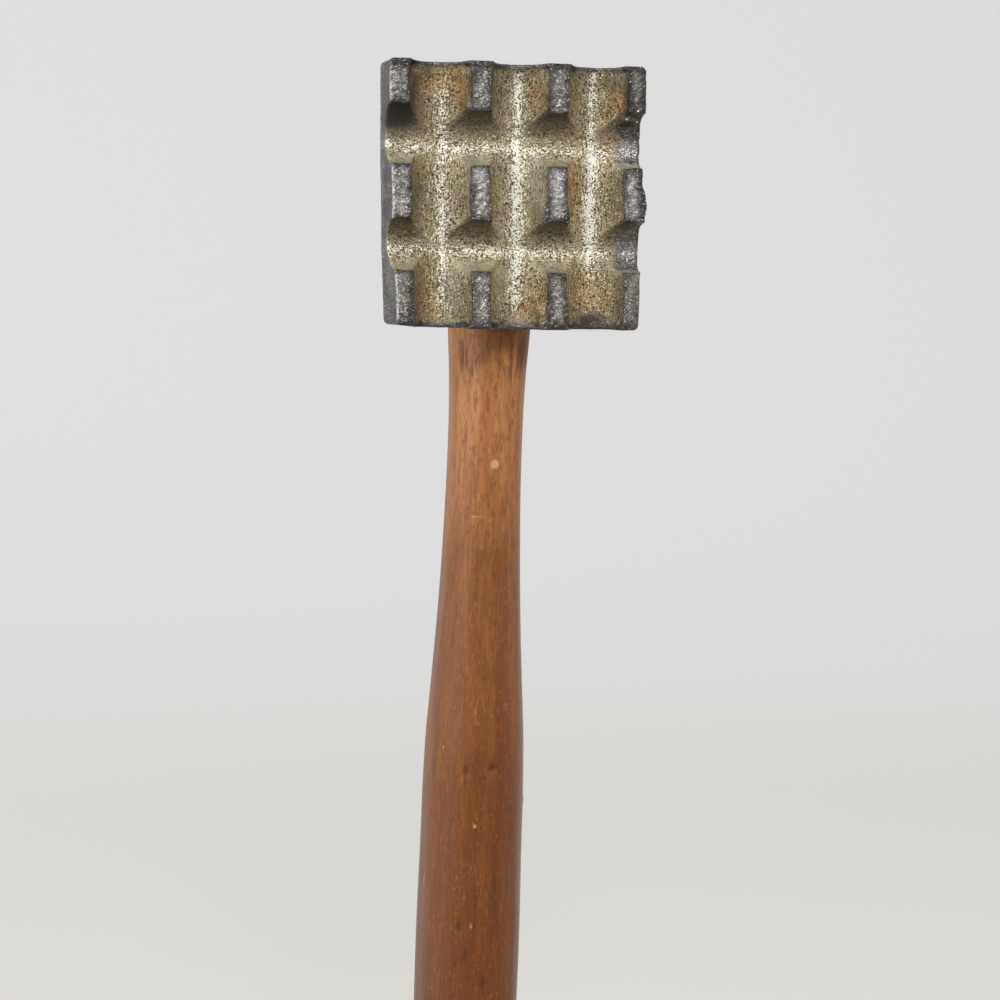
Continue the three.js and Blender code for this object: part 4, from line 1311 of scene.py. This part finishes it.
lay_on([head], aluminium, add, {
    "Base Color": colour,
    "Metallic": add("MapRange", [film_share, 0.0, 1.0, 1.0, 0.4], **SMOOTH),
    "Roughness": add("Math", [film_share, 0.04, roughness], operation="MULTIPLY_ADD"),
    "Normal": add("Bump", {"Height": relief, "Strength": 0.8, "Distance": 0.2 * MM}),
})

# %% [markdown]
# ## Oiled hickory
# Hickory is a ring-porous wood: each year starts with a row of large pores, which show as short dark dashes
# along the stick, and ends in denser, smoother wood. Years of hands and oil have turned it red-brown, darkest
# in the grip. The year rings are drawn as cylinders around a pith well outside the stick, so the end grain
# fits the sides.

# %% A ring-porous wood
FIBRE_STRETCH = 11
PORE_STRETCH = 5
PORE_SIZE = 0.34
RING_WANDER = 3.0


def wood(name, pale, deep, line, pith, ring_width):
    """A ring-porous wood with its grain along Z: the year is the distance from the pith over the width of a
    ring, and its fraction tells early wood from late. Real pores are 0.1 to 0.3 mm wide, and 0.34 mm here."""
    material, add, in_mm = new_material(name)
    long_mm = add("Mapping", {"Vector": in_mm, "Scale": (1, 1, 1 / FIBRE_STRETCH)})
    short_mm = add("Mapping", {"Vector": in_mm, "Scale": (1, 1, 1 / PORE_STRETCH)})
    streaks, bands, waver, pores, fibres = (
        add("TexNoise", {"Vector": vector, "Scale": 1 / size_mm, "Detail": detail, "Roughness": roughness})
        for vector, size_mm, detail, roughness in (
            (long_mm, 0.55, 3.0, 0.6),
            (long_mm, 3.2, 2.0, 0.5),
            (long_mm, 9.0, 1.0, 0.5),
            (short_mm, PORE_SIZE, 0.0, 0.5),
            (short_mm, 0.42, 2.0, 0.6),
        )
    )
    from_pith = add("VectorMath", [in_mm, (*pith, 0.0)], operation="SUBTRACT")
    flattened = add("VectorMath", [from_pith, (1, 1, 0)], operation="MULTIPLY")
    radius = add("VectorMath", [flattened], operation="LENGTH")
    wandering = add("Math", [waver, RING_WANDER, radius], operation="MULTIPLY_ADD")
    year = add("Math", [add("Math", [wandering, ring_width], operation="DIVIDE")], operation="FRACT")
    early = add("MapRange", [year, 0.42, 0.0], **SMOOTH)
    pores = add("MapRange", [pores, 0.62, 0.70], **SMOOTH)
    more_in_early = add("MapRange", [early, 0.0, 0.7, 0.25, 1.0], **SMOOTH)
    pores = add("Math", [pores, more_in_early], operation="MULTIPLY")
    colour = washes(add, pale, [
        (bands, (0.3, 0.7), 1.0, deep),
        (streaks, (0.38, 0.66), 0.5, line),
        (early, None, 0.2, line),
        (fibres, (0.56, 0.72), 0.45, pale),
        (pores, None, 0.38, "#3E2415"),
    ])
    relief = add("Math", [add("Math", [streaks, 0.6], operation="MULTIPLY"), pores], operation="SUBTRACT")
    return material, add, in_mm, colour, relief, streaks


print("a pore of the wood is", round(PORE_SIZE / PIXEL_MM, 1), "pixels wide and", PORE_STRETCH, "times as long")

# %% The oiled stick
# Oiled hickory gives the eye a warm red-brown with a silky, half-matt gloss, darker where hands have held it.
OIL_STOPS = [  # share of the tool's length, and the tint there
    (0.0, "#A48340"), (0.32, "#A68947"), (0.42, "#AE9157"), (0.52, "#BBA36F"), (0.61, "#C7B38D"),
    (0.66, "#E6D8C8"), (0.74, "#FFFAF4"),
]
OIL_WANDER = 26.0
hickory, add, in_mm, colour, relief, streaks = wood(
    "oiled_hickory_turned", "#C98E57", "#AB7242", "#8F5A30", (70.0, 42.0), 3.1)
blotches = add("Mapping", {"Vector": in_mm, "Scale": (1, 1, 0.35)})
broad, mottled, flecks, fleck_places, chips = (
    add("TexNoise", {"Vector": vector, "Scale": 1 / size_mm, "Detail": detail, "Roughness": roughness})
    for vector, size_mm, detail, roughness in (
        (in_mm, 14.0, 3.0, 0.6),
        (blotches, 1.3, 3.0, 0.65),
        (blotches, 0.6, 2.0, 0.5),
        (in_mm, 7.0, 2.0, 0.5),
        (in_mm, 0.5, 2.0, 0.5),
    )
)
patchy = add("Math", [broad, OIL_WANDER, -OIL_WANDER / 2], operation="MULTIPLY_ADD")
patchy = add("Math", [add("SeparateXYZ", [in_mm], "Z"), patchy], operation="ADD")
oil = add("ValToRGB", [add("Math", [patchy, OVERALL_LENGTH], operation="DIVIDE")])
elements = oil.node.color_ramp.elements
for position, _ in OIL_STOPS[1:-1]:
    elements.new(position)
for element, (position, tint) in zip(elements, OIL_STOPS):
    element.position = position
    element.color = linear(tint)
colour = add("Mix", [1.0, colour, oil], blend_type="MULTIPLY", **COLOUR)
print("tints of the oil:", [(round(element.position, 2), round(element.color[0], 2)) for element in elements])

# %% Stains and wear of the stick
stain_here, worn_here = (add("Attribute", output="Fac", attribute_name=name) for name in ("stain", "worn"))
frayed = add("Math", [streaks, 1.2, stain_here], operation="MULTIPLY_ADD")
frayed = add("MapRange", [frayed, 0.75, 1.45, 0.0, 0.8], **SMOOTH)
inside_stain = add("MapRange", [stain_here, 0.02, 0.2], **SMOOTH)
chipped = add("Math", [chips, 0.6, worn_here], operation="MULTIPLY_ADD")
flecks = add("MapRange", [flecks, 0.54, 0.74], **SMOOTH)
fleck_places = add("MapRange", [fleck_places, 0.4, 0.6, 0.1, 0.36], **SMOOTH)
colour = washes(add, colour, [
    (mottled, (0.48, 0.66), 0.5, "#6E3A1E"),
    (add("Math", [flecks, fleck_places], operation="MULTIPLY"), None, 1.0, "#AE7850"),
    (add("Math", [frayed, inside_stain], operation="MULTIPLY"), None, 1.0, "#4C2918"),
    (chipped, (0.55, 1.15), 0.75, "#DAAE78"),
])
lay_on([handle], hickory, add, {
    "Base Color": colour,
    "Roughness": add("MapRange", [broad, 0.3, 0.7, 0.5, 0.6], **SMOOTH),
    "IOR": 1.5,
    "Specular IOR Level": 0.34,
    "Sheen Weight": 0.27,
    "Sheen Roughness": 0.4,
    "Normal": add("Bump", {"Height": relief, "Strength": 0.35, "Distance": 0.12 * MM}),
})

# %% The wedges' finishes
# Sawn beech is a pale, matt tan with short lines.
wedge_wood, add, in_mm, colour, relief, _ = wood(
    "beech_wedge_sawn", "#C09A68", "#A9824F", "#8C6A40", (-40.0, 90.0), 2.0)
lay_on([wood_wedge], wedge_wood, add, {
    "Base Color": colour,
    "Roughness": 0.72,
    "Normal": add("Bump", {"Height": relief, "Strength": 0.5, "Distance": 0.15 * MM}),
})

# Stamped steel that has browned is dark grey with dull brown specks.
wedge_steel, add, in_mm = new_material("stamped_steel_browned")
specks = add("TexNoise", {"Vector": in_mm, "Scale": 1 / 0.6, "Detail": 4.0, "Roughness": 0.65})
lay_on(steel_wedges, wedge_steel, add, {
    "Base Color": washes(add, "#6B6763", [(specks, (0.4, 0.62), 1.0, "#5A3B28")]),
    "Metallic": 0.9,
    "Roughness": add("MapRange", [specks, 0.4, 0.65, 0.38, 0.7], **SMOOTH),
    "Normal": add("Bump", {"Height": specks, "Strength": 0.5, "Distance": 0.1 * MM}),
})

# %% [markdown]
# ## Studio
# The tool stands on its butt on a pale sweep of paper that runs up behind it without a corner. The paper is
# lit like everything else, but for the camera and for reflections it also glows a little, so it stays evenly
# pale and still keeps the shadow.

# %% The paper sweep
SWEEP_HALF_WIDTH = 3.0
SWEEP_FRONT = -2.5
SWEEP_CORNER = 1.1
SWEEP_RADIUS = 0.7
SWEEP_TOP = 3.2
corner_turns = np.linspace(0, math.pi / 2, 25)
profile = np.array([
    (SWEEP_FRONT, 0.0),
    *zip(SWEEP_CORNER + SWEEP_RADIUS * np.sin(corner_turns), SWEEP_RADIUS * (1 - np.cos(corner_turns))),
    (SWEEP_CORNER + SWEEP_RADIUS, SWEEP_TOP),
])
sides = [np.column_stack([np.full(len(profile), x), profile]) for x in (-SWEEP_HALF_WIDTH, SWEEP_HALF_WIDTH)]
steps = np.arange(len(profile) - 1)
sweep_faces = np.column_stack([steps, steps + len(profile), steps + len(profile) + 1, steps + 1])
sweep = make_piece("paper_sweep", np.vstack(sides) / MM, sweep_faces.tolist())
print("the sweep's profile has", len(profile), "points")


# %% Paper and air
def seen_rays(tree):
    """1 for rays from the camera, off a glossy surface or through glass, which see the background, else 0."""
    camera_ray, glossy_ray, glass_ray = (
        node(tree, "LightPath", output=name) for name in ("Is Camera Ray", "Is Glossy Ray", "Is Transmission Ray"))
    mirrored = node(tree, "Math", [glossy_ray, glass_ray], operation="MAXIMUM")
    return node(tree, "Math", [camera_ray, mirrored], operation="MAXIMUM")


# Matt paper shows no gloss at all. Its glow turns from a warm grey near the tool to a lighter one far behind.
paper, add, in_mm = new_material("matt_paper_pale_grey")
lay_on([sweep], paper, add, {
    "Base Color": "#7A7A79",
    "Roughness": 0.9,
    "Specular IOR Level": 0.0,
    "Emission Color": washes(add, "#D5D3CD", [
        (add("SeparateXYZ", [in_mm], "Y"), (450.0, 1100.0), 1.0, "#DFDFDF"),
    ]),
    "Emission Strength": add("Math", [seen_rays(paper.node_tree), 0.85], operation="MULTIPLY"),
})

world = bpy.data.worlds.new("studio_air")
world.use_nodes = True
world.node_tree.nodes.clear()
add = functools.partial(node, world.node_tree)
strength = add("Math", [seen_rays(world.node_tree), 0.4, 0.36], operation="MULTIPLY_ADD")
add("OutputWorld", {"Surface": add("Background", {"Color": "#E0E1E2", "Strength": strength})})
bpy.context.scene.world = world

# %% Lights
LIGHTS = {  # azimuth (0 is in front of the teeth, 90 to the right), elevation, distance, size, power, colour
    "key_window": (-9, 36, 1.3, 0.34, 10.0, "#FFFCF8"),
    "overhead_panel": (-20, 70, 1.4, 0.9, 5.0, "#FFFFFF"),
    "left_window": (-82, 12, 1.4, 0.8, 14.0, "#F8FAFF"),
    "right_card": (68, 4, 1.4, 0.8, 4.5, "#FFF8EE"),
}
LIT_POINT = np.array([0, 0, 0.24])


def towards(azimuth, elevation):
    """The unit vector from the tool to something at a bearing, in radians: out by the cosine of the elevation
    and up by its sine."""
    out = math.cos(elevation)
    return np.array([math.sin(azimuth) * out, -math.cos(azimuth) * out, math.sin(elevation)])


for name, (azimuth, elevation, distance, size, power, colour) in LIGHTS.items():
    lamp = bpy.data.lights.new(name, "AREA")
    lamp.size = size
    lamp.energy = power
    lamp.color = linear(colour)[:3]
    back = towards(math.radians(azimuth), math.radians(elevation))
    light = bpy.data.objects.new(name, lamp)
    light.location = LIT_POINT + back * distance
    light.rotation_euler = Vector(-back).to_track_quat("-Z", "Y").to_euler()
    bpy.context.scene.collection.objects.link(light)

# %% [markdown]
# ## Camera
# The photograph was taken from a little to the left and slightly above the head, with the camera tipped a
# little to one side. These values came from measuring where the corners of the plate fall in the picture.

# %% Camera
CAMERA_AZIMUTH = math.radians(-16)
CAMERA_ELEVATION = math.radians(4.5)
CAMERA_ROLL = math.radians(2.04)
CAMERA_PLACE = (-0.1521, -0.546, 0.245)
SENSOR_WIDTH = 36.0
FOCAL_LENGTH_IN_PICTURE_WIDTHS = 2.3
NEAREST_SEEN = 0.01
FARTHEST_SEEN = 20.0
lens = bpy.data.cameras.new("camera")
lens.sensor_width = SENSOR_WIDTH
lens.lens = SENSOR_WIDTH * FOCAL_LENGTH_IN_PICTURE_WIDTHS
lens.clip_start = NEAREST_SEEN
lens.clip_end = FARTHEST_SEEN
camera = bpy.data.objects.new("camera", lens)
bpy.context.scene.collection.objects.link(camera)
back = towards(CAMERA_AZIMUTH, CAMERA_ELEVATION)
level_right = np.array([math.cos(CAMERA_AZIMUTH), math.sin(CAMERA_AZIMUTH), 0.0])
level_up = np.cross(back, level_right)
right = level_right * math.cos(CAMERA_ROLL) + level_up * math.sin(CAMERA_ROLL)
upright = -level_right * math.sin(CAMERA_ROLL) + level_up * math.cos(CAMERA_ROLL)
camera.location = CAMERA_PLACE
camera.rotation_euler = Matrix(np.column_stack([right, upright, back]).tolist()).to_euler()
bpy.context.scene.camera = camera
bpy.context.scene.view_settings.view_transform = "Standard"
print("the lens is", round(lens.lens, 1), "mm on a 36 mm picture")
